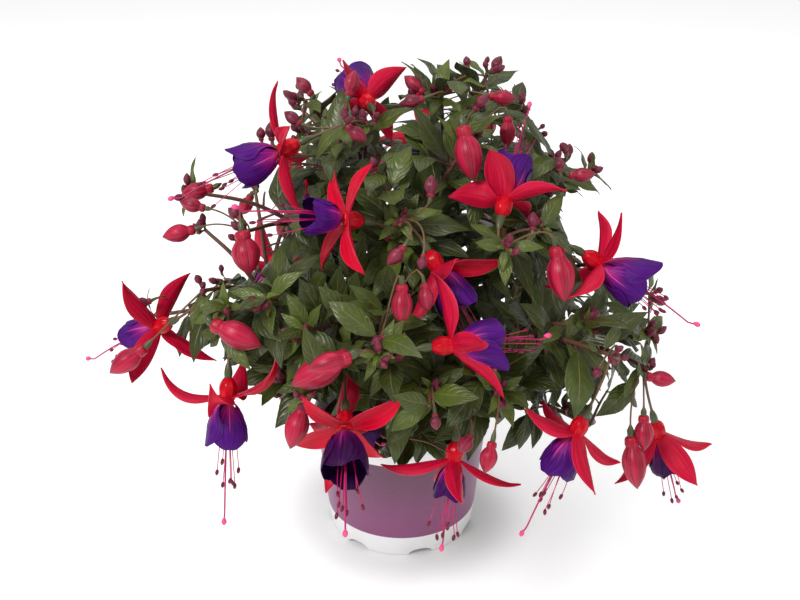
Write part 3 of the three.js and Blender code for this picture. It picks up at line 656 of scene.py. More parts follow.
# Kind is 0 inside a sepal, 1 outside and 2 on the tube
def sepal_material():
    s = Shader("sepal_scarlet")
    form = s.form()
    across, along = form[:2]
    streak, fine = s.streaks(form, 3.2, 0.5, 2.6), s.streaks(form, 9.0, 0.6, 2.6)
    inner = s.mix(s.ramp(streak, 0.35, 0.7), SEPAL_IN_DARK, SEPAL_IN_BRIGHT)
    outer = s.mix(s.ramp(streak, 0.3, 0.75), SEPAL_OUT_DARK, SEPAL_OUT_BRIGHT)
    outer = s.mix(s.ramp(fine, 0.42, 0.62, (0, 0.35)), outer, SEPAL_VEIN)
    colour = s.mix(s.kind(), inner, outer)
    colour = s.mix(s.ramp(along, 0.0, 0.14, (0.40, 0)), colour, SEPAL_ROOT_RED)
    # Painted sheen: a paler pink along the edges of each sepal
    colour = s.mix(s.ramp(s.size(across), 0.90, 1.0, (0, 0.26)), colour, SEPAL_EDGE_PAINTED_SHEEN)
    tube = s.mix(s.ramp(s.noise(3, stretch=0.4), 0.35, 0.7), TUBE_DARK, TUBE_BRIGHT)
    colour = s.mix(s.ramp(s.kind(), 1.4, 1.6), colour, tube)
    normal = s.bump(fine, 0.0004, 0.35, s.bump(streak, 0.0007, 0.5))
    return s.surface(colour, s.ramp(s.kind(), 1.4, 1.6, (0.40, 0.20)), normal, 0.14)


# Shade is 0 to 1 from a fresh to an aged petal. A pink fan spreads from its root.
def corolla_material():
    s = Shader("corolla_violet")
    across, along, shade = form = s.form()
    side = s.size(across)
    streak, fine = s.streaks(form, 3.0, 0.4, 3.0), s.streaks(form, 8.0, 0.35, 3.0)
    fresh = s.mix(s.ramp(streak, 0.3, 0.75), VIOLET_DARK, VIOLET_BRIGHT)
    aged = s.mix(s.ramp(streak, 0.3, 0.75), PLUM_DARK, PLUM_BRIGHT)
    colour = s.mix(s.ramp(shade, 0.2, 0.95), fresh, aged)
    fan = s.math("ADD", s.math("ADD", along, s.times(side, 0.22)), s.times(s.less(fine, 0.5), 1.1))
    fading = s.ramp(shade, 0.5, 1.2, (1, 0.35))
    colour = s.mix(s.times(s.ramp(fan, 0.09, 0.58, (0.85, 0)), fading), colour, PETAL_FAN)
    # Painted highlight: a pinkish-white ray along the middle of each petal near its root
    ray = s.times(s.ramp(side, 0.0, 0.06, (1, 0)), s.ramp(along, 0.10, 0.70, (1, 0)))
    ray = s.math("MAXIMUM", ray, s.ramp(fan, 0.02, 0.22, (1, 0)))
    colour = s.mix(s.times(ray, fading, 0.85), colour, PETAL_RAY_PAINTED_HIGHLIGHT)
    colour = s.mix(s.ramp(side, 0.94, 1.0, (0, 0.30)), colour, PETAL_EDGE)
    # Painted shade: the inner face of the petals darkened to nearly black, as inside the bell
    colour = s.mix(s.times(s.kind(), 0.80), colour, PETAL_INSIDE_PAINTED_SHADE)
    return s.surface(colour, 0.42, s.bump(streak, 0.0010, 0.4), 0.10)


# Shade is 0 to 1 from a small to a ripe bud. Four seams part its sepals.
def bud_material():
    s = Shader("bud_crimson")
    across, along, shade = s.form()
    form = s.times(across, 6), along, shade
    streak, fine = s.streaks(form, 3.0, 0.9, 1.0), s.streaks(form, 8.0, 0.8, 1.0)
    ripe = s.mix(s.ramp(streak, 0.36, 0.62), BUD_DARK, BUD_BRIGHT)
    ripe = s.mix(s.ramp(fine, 0.50, 0.66, (0, 0.45)), ripe, BUD_VEIN)
    small = s.mix(s.ramp(streak, 0.3, 0.7), SMALL_BUD_DARK, SMALL_BUD_BRIGHT)
    colour = s.mix(s.ramp(shade, 0.15, 0.85), small, ripe)
    colour = s.mix(s.ramp(along, 0.22, 0.32, (0.45, 0)), colour, BUD_TUBE)
    colour = s.mix(s.ramp(along, 0.84, 1.0, (0, 0.5)), colour, BUD_TIP)
    quarter = s.off_middle(s.times(across, 4))
    seam = s.times(s.ramp(quarter, 0.0, 0.035, (1, 0)), s.ramp(along, 0.28, 0.36))
    colour = s.mix(s.times(seam, 0.50), colour, BUD_SEAM)
    # Painted highlight: a faint pale pink strip beside each seam
    colour = s.mix(s.times(s.ramp(quarter, 0.04, 0.09, (1, 0)), 0.12), colour, BUD_SEAM_PAINTED_HIGHLIGHT)
    normal = s.bump(streak, 0.0009, 0.5, s.bump(s.times(seam, -1), 0.0004, 0.8))
    return s.surface(colour, 0.40, normal, 0.30, **BUD_SHEEN)


# Shade is 0 on the threads, 1 on the anthers and 2 on the stigma
def stamen_material():
    s = Shader("stamen_pink")
    shade = s.form()[2]
    thread = s.mix(s.noise(3), THREAD_DARK, THREAD_BRIGHT)
    colour = s.mix(s.ramp(shade, 0.4, 0.6), thread, ANTHER_RED)
    colour = s.mix(s.ramp(shade, 1.4, 1.6), colour, STIGMA_PINK)
    return s.surface(colour, 0.45, s.bump(s.noise(0.8, 2), 0.0002, 0.5), 0.35)


def pot_material():
    s = Shader("pot_white")
    dust = s.noise(26, 4)
    colour = s.mix(s.ramp(dust, 0.35, 0.75), POT_WHITE, POT_DUST)
    return s.surface(colour, s.ramp(dust, 0.3, 0.7, (0.30, 0.42)), s.bump(s.noise(0.9, 2), 0.0001, 0.35))


def band_material():
    s = Shader("band_plum")
    across, along = s.form()[:2]
    grain = s.noise(0.7, 2)
    # Painted shade: darker towards the top of the band, under the overhanging leaves
    colour = s.mix(s.ramp(along, 0, 1), BAND_LOW, BAND_TOP_PAINTED_SHADE)
    # Painted reflection: paler towards the band's right side
    colour = s.mix(s.ramp(across, 0.55, 1.0, (0, 0.35)), colour, BAND_RIGHT_PAINTED_REFLECTION)
    colour = s.mix(s.ramp(grain, 0.3, 0.7, (0, 0.10)), colour, BAND_GRAIN)
    return s.surface(colour, 0.34, s.bump(grain, 0.00008, 0.3))


def soil_material():
    s = Shader("soil_dark")
    grain = s.noise(2.2, 5, 0.7)
    colour = s.mix(s.ramp(grain, 0.35, 0.7), SOIL_DARK, SOIL_BROWN)
    colour = s.mix(s.ramp(s.noise(1.1, 2), 0.66, 0.72, (0, 0.7)), colour, SOIL_GRIT)
    return s.surface(colour, 0.95, s.bump(grain, 0.002, 0.9))


# Pot and soil

def wall_radius(height):
    return POT_BASE_RADIUS + (COLLAR_RADIUS - POT_BASE_RADIUS) * height / COLLAR_FROM


def make_pot():
    inner_top = POT_RIM_RADIUS - POT_LIP
    profile = [(0.02, 0), (POT_BASE_RADIUS - 0.6, 0), (POT_BASE_RADIUS, 0.5)]
    profile += [(wall_radius(h), h) for h in (5, 15, 30, 45, 60, 70, COLLAR_FROM - 0.3)]
    profile += [
        (COLLAR_RADIUS + 0.1, COLLAR_FROM), (COLLAR_RADIUS + 0.7, COLLAR_FROM + 0.35),
        (COLLAR_RADIUS + COLLAR_STEP, COLLAR_FROM + 1), (POT_RIM_RADIUS - 0.3, POT_HEIGHT - 3),
        (POT_RIM_RADIUS, POT_HEIGHT - 1), (POT_RIM_RADIUS - 0.3, POT_HEIGHT - 0.3),
        (POT_RIM_RADIUS - 0.9, POT_HEIGHT), (inner_top + 0.5, POT_HEIGHT), (inner_top, POT_HEIGHT - 0.6),
        (COLLAR_RADIUS - POT_WALL, COLLAR_FROM), (POT_BASE_RADIUS - POT_WALL, POT_FLOOR), (0.02, POT_FLOOR)]
    body = Body()
    add_turned(body, profile, POT_SIDES, frame_along((0, 0, 0), UP), 0)
    pot = body.piece("pot_body", "pot", MATERIALS["pot"], "pot", sharp=POT_SHARP)
    arches = Body()
    oval = [(math.cos(a) * FOOT_GAP_WIDTH / 2, math.sin(a) * FOOT_GAP_HEIGHT) for a in circle(24)]
    for i in range(FOOT_GAPS):
        turn = math.radians(FOOT_GAP_START + i * 360 / FOOT_GAPS)
        rings = [[(out, across, high) for across, high in oval]
                 for out in (POT_BASE_RADIUS - FOOT_GAP_DEPTH, POT_BASE_RADIUS + 10)]
        add_rings(arches, spun(np.array(rings), turn), 0)
    cutter = arches.piece("arches", "pot", MATERIALS["pot"])
    cut = pot.modifiers.new("cut", "BOOLEAN")
    cut.operation, cut.solver, cut.object = "DIFFERENCE", "EXACT", cutter
    graph = bpy.context.evaluated_depsgraph_get()
    mesh = bpy.data.meshes.new_from_object(pot.evaluated_get(graph))
    pot.modifiers.clear()
    pot.data = mesh
    bpy.data.objects.remove(cutter)
    mesh.set_sharp_from_angle(angle=math.radians(POT_SHARP))


# Printed band: a skin on the pot's wall, with its lower edge rising a little to the back
def make_band():
    rows, sides = 16, POT_SIDES
    angles = circle(sides) - math.pi / 2
    share = np.linspace(0, 1, rows)[:, None]
    low = BAND_FROM + BAND_RISE * (1 - np.cos(angles + math.pi / 2)) / 2
    high = low + (BAND_TO - low) * share
    radius = wall_radius(high) + BAND_PROUD
    outer = np.stack((radius * np.cos(angles), radius * np.sin(angles), high), axis=-1)
    form = np.stack(np.broadcast_arrays(np.cos(angles), share, 0.0), axis=-1)
    count = rows * sides
    faces = grid_faces(rows, sides, wrap=True) + grid_faces(rows, sides, count, wrap=True, flip=True)
    for j in range(sides):
        k, top = (j + 1) % sides, count - sides
        faces.append([k, j, count + j, count + k])
        faces.append([top + j, top + k, count + top + k, count + top + j])
    body = Body()
    body.add((outer, outer * (BAND_INSIDE, BAND_INSIDE, 1)), faces, (form, form))
    body.piece("pot_band", "pot_band", MATERIALS["band"])


def make_soil():
    rng = np.random.default_rng(7)
    rings, sides = 46, 120
    edge = COLLAR_RADIUS - POT_WALL - SEAT_GAP

    def at(radius, j, shift, height):
        angle = 2 * math.pi * (j + 0.5 * shift) / sides
        return radius * math.cos(angle), radius * math.sin(angle), height

    points = [(0, 0, SOIL_CROWN)]
    for i in range(1, rings + 1):
        height = SOIL_CROWN + (SOIL_TOP - SOIL_CROWN) * i / rings
        for j in range(sides):
            rough = rng.uniform(-0.9, 0.5) if i < rings else -0.5
            points.append(at(edge * i / rings, j, i % 2, height + rough))
    base, last = len(points), 1 + (rings - 1) * sides
    foot = POT_BASE_RADIUS - POT_WALL - SEAT_GAP
    for radius, height in ((edge, SOIL_TOP - 2), (foot, POT_FLOOR + SEAT_GAP)):
        points += [at(radius, j, rings % 2, height) for j in range(sides)]
    faces = [[0, 1 + j, 1 + (j + 1) % sides] for j in range(sides)]
    faces += grid_faces(rings, sides, 1, wrap=True, flip=True)
    faces += grid_faces(2, sides, base, wrap=True, flip=True)
    faces += [[last + j, base + j, base + (j + 1) % sides, last + (j + 1) % sides] for j in range(sides)]
    faces.append([base + sides + j for j in range(sides)][::-1])
    body = Body()
    body.add(points, faces, np.zeros((len(points), 3)))
    body.piece("soil_bed", "soil", MATERIALS["soil"], "soil", sharp=180)


# Flowers

# Points of a CAD node, to find which of several tries the frame holds
def node_points(node):
    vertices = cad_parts[node].data.vertices
    tree = KDTree(len(vertices))
    for i, v in enumerate(vertices):
        tree.insert(v.co, i)
    tree.balance()
    return tree


def is_in(tree, point):
    return tree.find(Vector(point * METRE))[2] < 0.2 * METRE


def flower_frame(flower):
    return frame_along(flower.star, heading(*flower.aim), math.radians(flower.roll))


def sepal_turn(number):
    return math.radians(number * 90 + 22.5)


# Point of a sepal that lies back by an angle, before it is turned to its place in the star
def sepal_point(along, across, skin, angle):
    return np.stack((SEPAL_ROOT + along * np.cos(angle) + skin * np.sin(angle), across,
                     -1.8 - along * np.sin(angle) + skin * np.cos(angle)), axis=-1)


def on_sepal(where, number, along, angle):
    return put(spun(sepal_point(along, 0.0, 0.0, angle), sepal_turn(number)), where)


# One sepal: a channelled blade with a fine tip, which lies back by the given angle
def add_sepal(body, where, number, tip, long, broad, curl, twist, seed):
    share = np.linspace(0, 1, SEPAL_GRID[0])[:, None]
    across = np.linspace(-1, 1, SEPAL_GRID[1])[None, :]
    width = np.sin(math.pi * share ** 0.88) ** 0.92 + 0.44 * (1 - share) ** 4
    half = SEPAL_WIDTH / 2 * broad * np.maximum(width, 0.015)
    cup = between(0.24, 0.64, seed, 1, 8)
    skin = half * cup * (across ** 2 - 0.4) * np.sin(math.pi * share) ** 0.5
    skin = skin - 0.40 * np.exp(-(across / 0.12) ** 2) * np.sin(math.pi * share ** 0.8)
    skin = skin + 0.45 * np.sin(5 * share + between(0, 6, seed, 3, 8)) * across * share
    lean = math.radians(twist) * np.minimum(1, share / 0.28) + between(-0.25, 0.25, seed, 4, 8) * share
    flat = half * across
    side = flat * np.cos(lean) - skin * np.sin(lean)
    skin = flat * np.sin(lean) + skin * np.cos(lean)
    sway = between(-1.1, 1.1, seed, 6, 8) * np.sin(math.pi * share)
    hook = between(-0.48, 1.12, seed, 2, 8) * np.clip(share - 0.8, 0, 1) ** 2 / 0.04
    angle = math.radians(tip) - curl + curl * share * share
    grid = sepal_point(SEPAL_LENGTH * long * share, side + sway, skin - hook, angle)
    add_sheet(body, put(spun(grid, sepal_turn(number)), where), 0.75, draw(seed, 5, 8))


# Twist and width that make a sepal look as wide from the eye as it does in the photo
def seen_twist(where, number, tip, wanted):
    tip, turn = math.radians(tip), sepal_turn(number)
    c, s = math.cos(tip), math.sin(tip)
    along, flat, face = (put(spun(vec(way), turn), (0, *where[1:]))
                         for way in ((c, 0, -s), (0, 1, 0), (s, 0, c)))
    view = unit(vec(EYE) - where[0])
    found = None
    for twist in sorted(range(-75, 80, 5), key=abs):
        edge = flat * math.cos(math.radians(twist)) + face * math.sin(math.radians(twist))
        seen = abs(np.cross(edge, along).dot(view)) / np.linalg.norm(along - view * along.dot(view))
        miss = abs(seen * SEPAL_WIDTH - wanted) + 0.02 * abs(twist)
        if found is None or miss < found[0]:
            found = miss, twist, wanted / max(1, seen * SEPAL_WIDTH)
    return found[1], min(1.2, max(0.8, found[2]))


def make_flower(key, item):
    flower = FLOWERS[key]
    where = flower_frame(flower)
    tree = node_points(f"flower_{key}_red")
    red = Body()
    profile = smooth_profile(((OVARY_RADIUS * 0.8, -TUBE_LENGTH), (TUBE_RADIUS * 0.82, 2.4 - TUBE_LENGTH),
                              (TUBE_RADIUS, -6.6), (TUBE_RADIUS * 0.93, -3), (TUBE_RADIUS * 0.84, -0.9),
                              (3.2, 0.1)), 3)
    add_turned(red, profile, 32, where, draw(item, 1, 9),
               lambda angles, share: 1 + 0.045 * np.cos(8 * angles + math.pi), kind=2.0)
    for i, first in enumerate(flower.tips):
        for more, part in SEPAL_TRIES:
            tip, long = first + more, flower.long * part
            if is_in(tree, on_sepal(where, i, SEPAL_LENGTH * long, math.radians(tip))):
                twist, broad = between(-30, 30, item, i, 18), 1
                if key in SEEN_WIDTHS:
                    twist, broad = seen_twist(where, i, tip, SEEN_WIDTHS[key][i])
                add_sepal(red, where, i, tip, long, broad, flower.curl, twist, item * 7 + i)
                break
    red.piece(f"sepals_{key}", "sepal", MATERIALS["sepal"], f"flower_{key}_red")
    make_corolla(key, item, where, flower.bell)
    make_stamens(key, item, where, flower.style)


# One petal: lapped over the next, with a round end and an edge that curls
def add_petal(body, where, item, layer, i, size, is_loose, flare, shade):
    petal = PETALS[layer]
    share = np.linspace(0, 1, petal["grid"][0])[:, None]
    across = np.linspace(-1, 1, petal["grid"][1])[None, :]
    reach = petal["reach"] - between(0, 0.08, item, i + 4 * layer, 10)
    ease = np.minimum(1, 0.35 + 1.3 * share)
    ease = ease * (1 - 0.64 * np.clip((share - 0.52) / 0.48, 0, 1) ** 2.5)
    height = share * reach * (1 - 0.06 * np.abs(across) ** 2.2)
    height = height + 0.012 * share * np.sin(5 * across + between(0, 6, item, i, 16))
    angle = math.radians(i * 360 / petal["count"] + 45 * layer) + math.radians(petal["span"]) * across * ease
    radius = np.interp(height, *zip(*COROLLA_PROFILE)) * petal["girth"] * (1 + flare * (height - 0.5))
    radius = radius - (0.5 + 0.55 * across) * np.minimum(1, share * 4)
    radius = radius * (1 + 0.030 * share ** 2 * np.sin(3 * across + between(0, 6, item, i, 19)))
    lift = 0.45 * share ** 1.2 if is_loose else between(-0.072, 0.048, item, i, 12) * share ** 3
    radius = radius * (1 + lift * np.cos(across * 1.3))
    curl = 13.2 * np.clip(share - 0.84, 0, 1) ** 1.5 * (1 if draw(item, i, 17) > 0.5 else -1)
    radius = radius + curl * (1 - across ** 4)
    grid = np.stack((radius * np.cos(angle), radius * np.sin(angle),
                     COROLLA_START + height * COROLLA_LENGTH + 0 * angle), axis=-1)
    add_sheet(body, put(size * grid[:, ::-1], where), 0.4, shade)


def make_corolla(key, item, where, size):
    body = Body()
    flare = between(-0.064, 0.096, item, 5, 9)
    age = 0.55 * draw(item, 4, 9) + AGES.get(key, 0)
    for layer, petal in enumerate(PETALS):
        for i in range(petal["count"]):
            shade = min(1, max(0, age + 0.4 * layer + 0.25 * draw(item, i, 13)))
            is_loose = layer == 0 and i == LIFTED.get(key)
            add_petal(body, where, item, layer, i, size, is_loose, flare, shade)
    body.piece(f"corolla_{key}", "corolla", MATERIALS["corolla"], f"flower_{key}_corolla")


# Style with its stigma, and threads with their anthers, bowed by their weight
def make_stamens(key, item, where, style):
    body = Body()
    down = -vec([axis[2] for axis in where[1:]])
    bow = down * (1, 1, 0)
    steps = np.linspace(0, 1, 12)
    path = np.outer(steps, (0, 0, style - 1)) + np.outer(3 * steps ** 2 - 1.5 * np.sin(math.pi * steps), bow)
    path[-1] = (0, 0, style - 1)
    radii = np.interp(steps, (0, 0.9), (STYLE_RADIUS * 1.2, STYLE_RADIUS))
    add_rod(body, put(path, where), radii, 8, 0.0)
    head = smooth_profile(((0.3, style - 4.2), (STIGMA_RADIUS * 0.8, style - 3), (STIGMA_RADIUS, style - 1.5),
                           (0.6, style - 0.2), (0.02, style)), 3)
    add_turned(body, head, 10, where, 2.0)
    anther = smooth_profile(((0.05, -0.6), (0.75, 0), (1.0, ANTHER_LENGTH * 0.35),
                             (0.8, ANTHER_LENGTH * 0.75), (0.05, ANTHER_LENGTH)), 2)
    for i in range(FILAMENTS):
        turn = (i + between(0, 0.8, item, i, 14)) / FILAMENTS * 2 * math.pi
        way = vec((math.cos(turn), math.sin(turn), 0))
        length = between(29, 46, item, i, 1)
        root = 1.2 * way + 3 * UP
        tip = (2.5 + 6.5 * draw(item, i, 15) ** 1.5) * way + length * UP + bow * 0.12 * length
        twirl = turn + between(0, 3, item, i, 22)
        bend = between(-0.9, 2.1, item, i, 21) * np.sin(math.pi * steps)
        path = root + np.outer(steps, tip - root) + np.outer(bend, (math.cos(twirl), math.sin(twirl), 0))
        add_rod(body, put(path, where), np.full(12, FILAMENT_RADIUS), 5, 0.0)
        axis = unit(tip - root + 24 * (vec((draw(item, i, 16), draw(item, i, 17), 0.7)) - 0.5))
        add_turned(body, anther, 8, put_frame(frame_along(tip, axis), where), 1.0)
    body.piece(f"stamens_{key}", "stamen", MATERIALS["stamen"])


# Stems, stalks, buds and leaves

def stem_curve(end):
    end = vec(end)
    share = 0.25 + 0.75 * min(1, max(0, (300 - end[2]) / 150))
    foot = unit(end * (1, 1, 0)) * CROWN_RADIUS * share
    foot[2] = SOIL_TOP
    knee = foot + (end - foot) * 0.45
    knee[2] = SOIL_TOP + STEM_LIFT * (end[2] - SOIL_TOP)
    foot[2] = SOIL_TOP - STEM_HOLE_DEPTH
    return even_points(foot, knee, end, np.linspace(0, 1, STEM_STEPS + 1))[0]


def shoot_curve(start, tip):
    return np.array((start, (start + tip) / 2 + UP * SHOOT_LIFT * np.linalg.norm(tip - start), tip))


def shoot_root(curve, tip):
    def cost(point):
        return np.linalg.norm(point - tip) + 2 * max(0, point[2] - tip[2] + 8)
    return min((point_at(curve, share) for share in SHOOT_SHARES), key=cost)


def flower_node(flower):
    if flower.node:
        return vec(flower.node)
    back = TUBE_LENGTH + SEAT_GAP + OVARY_LENGTH + STALK_LENGTH
    return vec(flower.star) - heading(*flower.aim) * back + UP * STALK_RISE


# Stalk and ovary of a flower, as one rod from the tip of its shoot
def add_stalk(body, flower):
    axis = heading(*flower.aim)
    node = flower_node(flower)
    end = vec(flower.star) - axis * (TUBE_LENGTH + SEAT_GAP)
    bend = end - axis * 0.75 * np.linalg.norm(node - end)
    shares = np.linspace(0, 1, 25)
    points, length = even_points(node, bend, end, shares)
    swelling = np.clip(1 - (1 - shares) * length / OVARY_LENGTH, 0, 1)
    swollen = (STALK_RADIUS, 1.7, OVARY_RADIUS * 0.9, OVARY_RADIUS * 0.8)
    radii = np.interp(swelling, (0, 0.25, 0.7, 1), swollen)
    radii[0] = SHOOT_RADIUS[1]
    add_rod(body, points, radii, 12, 1.0 + np.clip(swelling * 4, 0, 1))


def bud_swell(angles, share):
    groove = 0.05 * np.exp(-((np.mod(angles / (math.pi / 2) + 0.5, 1) - 0.5) / 0.10) ** 2)
    return 1 - groove * min(1, max(0, (share - 0.28) * 6)) * (1 - share) ** 0.3


# A bud: stalk with its swollen ovary, ball-shaped tube, and closed sepals with a pointed tip
def add_bud(plant, start, middle, length, axis, shade, fat=1, sides=24, steps=13):
    base = middle - axis * length / 2
    reach = np.linalg.norm(base - start)
    bend = base - axis * 0.45 * reach + UP * 0.12 * reach
    shares = np.linspace(0, 1, steps)
    path = even_points(start, bend, base + axis * 0.8, shares)[0]
    ovary = np.clip((shares - 1) * reach / (2 + 0.14 * length) + 1, 0, 1)
    stalk = np.interp(shares, (0, 0.5), (STALK_RADIUS * 0.9, 0.5))
    plump = np.interp(ovary, (0, 0.35, 0.75, 1), (0, 0.8, 1, 0.75)) * (0.35 + 0.05 * length)
    add_rod(plant["wood"], path, stalk + plump, sides // 3, 1.0 + np.clip(ovary * 3, 0, 1))
    radius = (BUD_PLUMP + BUD_FATNESS * length) * fat
    profile = [(radius * r, length * h) for r, h in BUD_PROFILE] + [(0.02, length / 2)]
    where = frame_along(middle, axis, between(0, 6, middle[0], middle[1], 3))
    add_turned(plant["buds"], smooth_profile(profile, sides // 12), sides, where, shade, bud_swell)


# Axes of a leaf: across it, out of its face, and along it
def leaf_frame(root, way, face):
    z = unit(way)
    y = unit(face - z * face.dot(z))
    return root, np.cross(y, z), y, z


# Plain outline of a leaf, for finding what it would touch
def leaf_outline(root, way, face, length, droop=LEAF_DROOP):
    width = length * LEAF_WIDTH / LEAF_LENGTH
    points = [(hand * half * width, -droop * length * share ** 2, length * share)
              for share, half in ((0.12, 0.02), (0.4, 0.5), (0.74, 0.38), (1, 0.02)) for hand in (-1, 1)]
    return put(points, leaf_frame(root, way, face))


def leaf_tree(points):
    faces = [(0, 1, 3), (0, 3, 2), (2, 3, 5), (2, 5, 4), (4, 5, 7), (4, 7, 6)]
    return BVHTree.FromPolygons([Vector(p) for p in points], faces)


def add_leaf(plant, root, way, face, length, seed, shade, grid=(21, 7), droop=LEAF_DROOP, slim=1):
    where = leaf_frame(root, way, face)
    t = np.linspace(0, 1, grid[0])[:, None]
    share = LEAF_NECK + (1 - LEAF_NECK) * t
    across = np.linspace(-1, 1, grid[1])[None, :]
    bulge = np.sin(math.pi * t ** between(0.80, 1.08, seed, 8, 20)) ** 0.92
    outline = bulge * (1 - 0.12 * t ** 3) + 0.03 * (1 - t)
    outline = outline * between(0.86, 1.08, seed, 9, 20)
    tooth = 1 + (0.035 * (np.arange(grid[0])[:, None] % 2) - 0.02) * np.abs(across) ** 4
    half = slim * length * LEAF_WIDTH / LEAF_LENGTH / 2 * np.maximum(outline, 0.012) * tooth
    arch = between(0.16, 0.60, seed, 1, 20)
    lift = half * (arch * np.abs(across) - (arch * 0.6 + 0.16) * across ** 2)
    wave = 0.032 * length * np.sin(3 * math.pi * t + between(0, 6, seed, 2, 20)) * np.abs(across) ** 2.5
    wave = wave * np.sign(across) ** (0 if draw(seed, 3, 20) > 0.5 else 1)
    hook = between(-0.16, 0.64, seed, 7, 20) * length * np.clip(t - 0.55, 0, 1) ** 2
    skin = LEAF_THICK / 2 - droop * length * share ** 2 + lift + wave * np.sin(math.pi * t) ** 0.5 - hook
    sway = between(-0.06, 0.06, seed, 4, 20) * length * np.sin(math.pi * t * 0.8)
    blade = np.stack((half * across + sway, skin, share * length + 0 * across), axis=-1)
    add_sheet(plant["leaves"], put(blade, where), 0.35, shade)
    neck = np.linspace(0, 1, 3)
    path = np.stack((0 * neck, LEAF_THICK / 2 * neck - 0.15 - droop * length * (neck * 0.16) ** 2,
                     neck * 0.16 * length - LEAF_SEAT), axis=-1)
    add_rod(plant["wood"], put(path, where), np.linspace(0.70, 0.35, 3), 5, 0.7)


# Way of a leaf on one hand of a shoot (or ahead, for hand 0): sideways, forward, outward and up
def leaf_way(along, out, hand, turn, forward, outward, rise):
    level = unit(np.cross(along, out) + 1e-6)
    side = (level * math.cos(turn) + np.cross(level, along) * math.sin(turn)) * hand
    return unit(side + along * (forward if hand else 1) + out * outward + UP * rise)


def outward_from(root, level):
    return unit(vec((root[0], root[1], 0.5 * (root[2] - level))))


# Leaves of a shoot in the frame: a pair and a lone one on its way, and one at its tip where no flower
# hangs. Each is its root, way, face and length.
def frame_leaves(curve, seed, has_tip):
    leaves = []
    wanted = [(PAIR_SHARE, -1, 0), (PAIR_SHARE, 1, 1)] + ([(TIP_SHARE, 0, 2)] if has_tip else [])
    if seed % LONE_SKIP:
        wanted.append((LONE_SHARE, -1 if seed % 2 else 1, 3))
    for share, hand, number in wanted:
        root, along = point_at(curve, share), tangent_at(curve, share)
        out = outward_from(root, SOIL_CROWN)
        way = leaf_way(along, out, hand, between(-0.45, 0.45, seed, 1, 3), 0.5, 0.45,
                       between(0.2, -0.3, seed, number, 4))
        length = LEAF_LENGTH * (1 if hand else 0.8) * between(0.85, 1.15, seed, number, 5)
        leaves.append((root, way, out + UP * 0.7, length))
    return leaves


# Seat and aim of the try that the frame holds
def fitted_frame_leaf(tree, root, way, face, length):
    for turn in LEAF_TURNS:
        aim = spun(way, turn)
        seat = root + aim * LEAF_SEAT
        tip = put((0, LEAF_THICK / 2 - LEAF_DROOP * length, length), leaf_frame(seat, aim, face))
        if is_in(tree, tip):
            return seat, aim
    return None


def grow():
    plants = {}
    for number, (name, (end, flowers, tips)) in enumerate(STEMS.items()):
        curve = stem_curve(end)
        ends = [flower_node(FLOWERS[key]) for key in flowers] + [vec(tip) for tip in tips]
        shoots = [shoot_curve(shoot_root(curve, tip), tip) for tip in ends]
        wood = Body()
        count = 8 * STEM_STEPS + 1
        add_rod(wood, smooth(curve, 8), np.linspace(*STEM_RADIUS, count), 14, np.linspace(0, 0.45, count))
        for i, shoot in enumerate(shoots):
            carries = i < len(flowers)
            ages = np.linspace(0.35, 0.9, 17) if carries else np.linspace(0.3, 0.95, 17)
            add_rod(wood, smooth(shoot, 8), np.linspace(*SHOOT_RADIUS, 17), 10, ages)
            if carries:
                add_stalk(wood, FLOWERS[flowers[i]])
        plants[name] = {"curve": curve, "shoots": shoots, "flowers": flowers, "number": number, "wood": wood,
                        "leaves": Body(), "buds": Body(), "tree": node_points(f"stem_{name}")}
    return plants


def nearest_shoot(plants, base):
    places = [(plant, point_at(shoot, share)) for plant in plants.values()
              for shoot in plant["shoots"] for share in BUD_SHARES]
    return min(places, key=lambda place: np.linalg.norm(place[1] - base))


# The buds of the frame, and the small ones that only the scene has
def hang_buds(plants):
    for table in (BUDS, SMALL_BUDS):
        for x, y, z, length, azimuth, dip, *fat in table:
            middle, axis = vec((x, y, z)), heading(azimuth, dip)
            plant, start = nearest_shoot(plants, middle - axis * length / 2)
            if table is SMALL_BUDS:
                add_bud(plant, start, middle, length, axis, 0.0)
            elif is_in(plant["tree"], middle + axis * length / 2):
                add_bud(plant, start, middle, length, axis, min(1, max(0, (length - 10) / 9)), *fat)


# Young arched leaves in pairs with tiny buds between them, at the tip of a shoot
def add_growing_tip(plant, room, tip, along, seed, size=1.0):
    side = frame_along(tip, along, between(0, 6, seed, 1, 40))
    for pair, full in enumerate(YOUNG_LENGTHS):
        for hand in (-1, 1):
            turn = pair * math.pi / 2 + (0 if hand > 0 else math.pi) + between(-0.25, 0.25, seed, pair, 41)
            out = side[1] * math.cos(turn) + side[2] * math.sin(turn)
            way = unit(out + along * (0.55 + 0.45 * pair) + UP * 0.3)
            length = full * between(0.8, 1.3, seed, pair + hand, 42) * size
            root, face = tip + along * (1.5 * pair - 2), along + UP * 0.5
            droop = between(0.20, 0.45, seed, pair - hand, 46)
            points = leaf_outline(root, way, face, length, droop)
            if (tuple(tip) in FREE_TIPS or is_open(points)) and room.takes(points, 0.5):
                room.keep(points)
                add_leaf(plant, root, way, face, length, seed + pair * 2 + hand, 0.50 + 0.16 * pair,
                         SMALL_GRID, droop, 0.8)
    for k in range(4):
        turn = 1.7 * k + between(0, 6, seed, k, 43)
        out = side[1] * math.cos(turn) + side[2] * math.sin(turn)
        length = between(5, 10, seed, k, 44) * size
        middle = tip + unit(out + along * 0.9 + UP * 0.4) * between(5, 10, seed, k, 45) * size
        axis = unit(middle - tip + UP * 3 + vec([between(-4, 4, seed, k, 47 + i) for i in range(3)]))
        ends = [middle - axis * length / 2, middle + axis * length / 2]
        if all(room.is_clear(end, 1.5) for end in ends):
            add_bud(plant, tip, middle, length, axis, between(0, 0.25, seed, k, 50), 0.85, 12, 8)


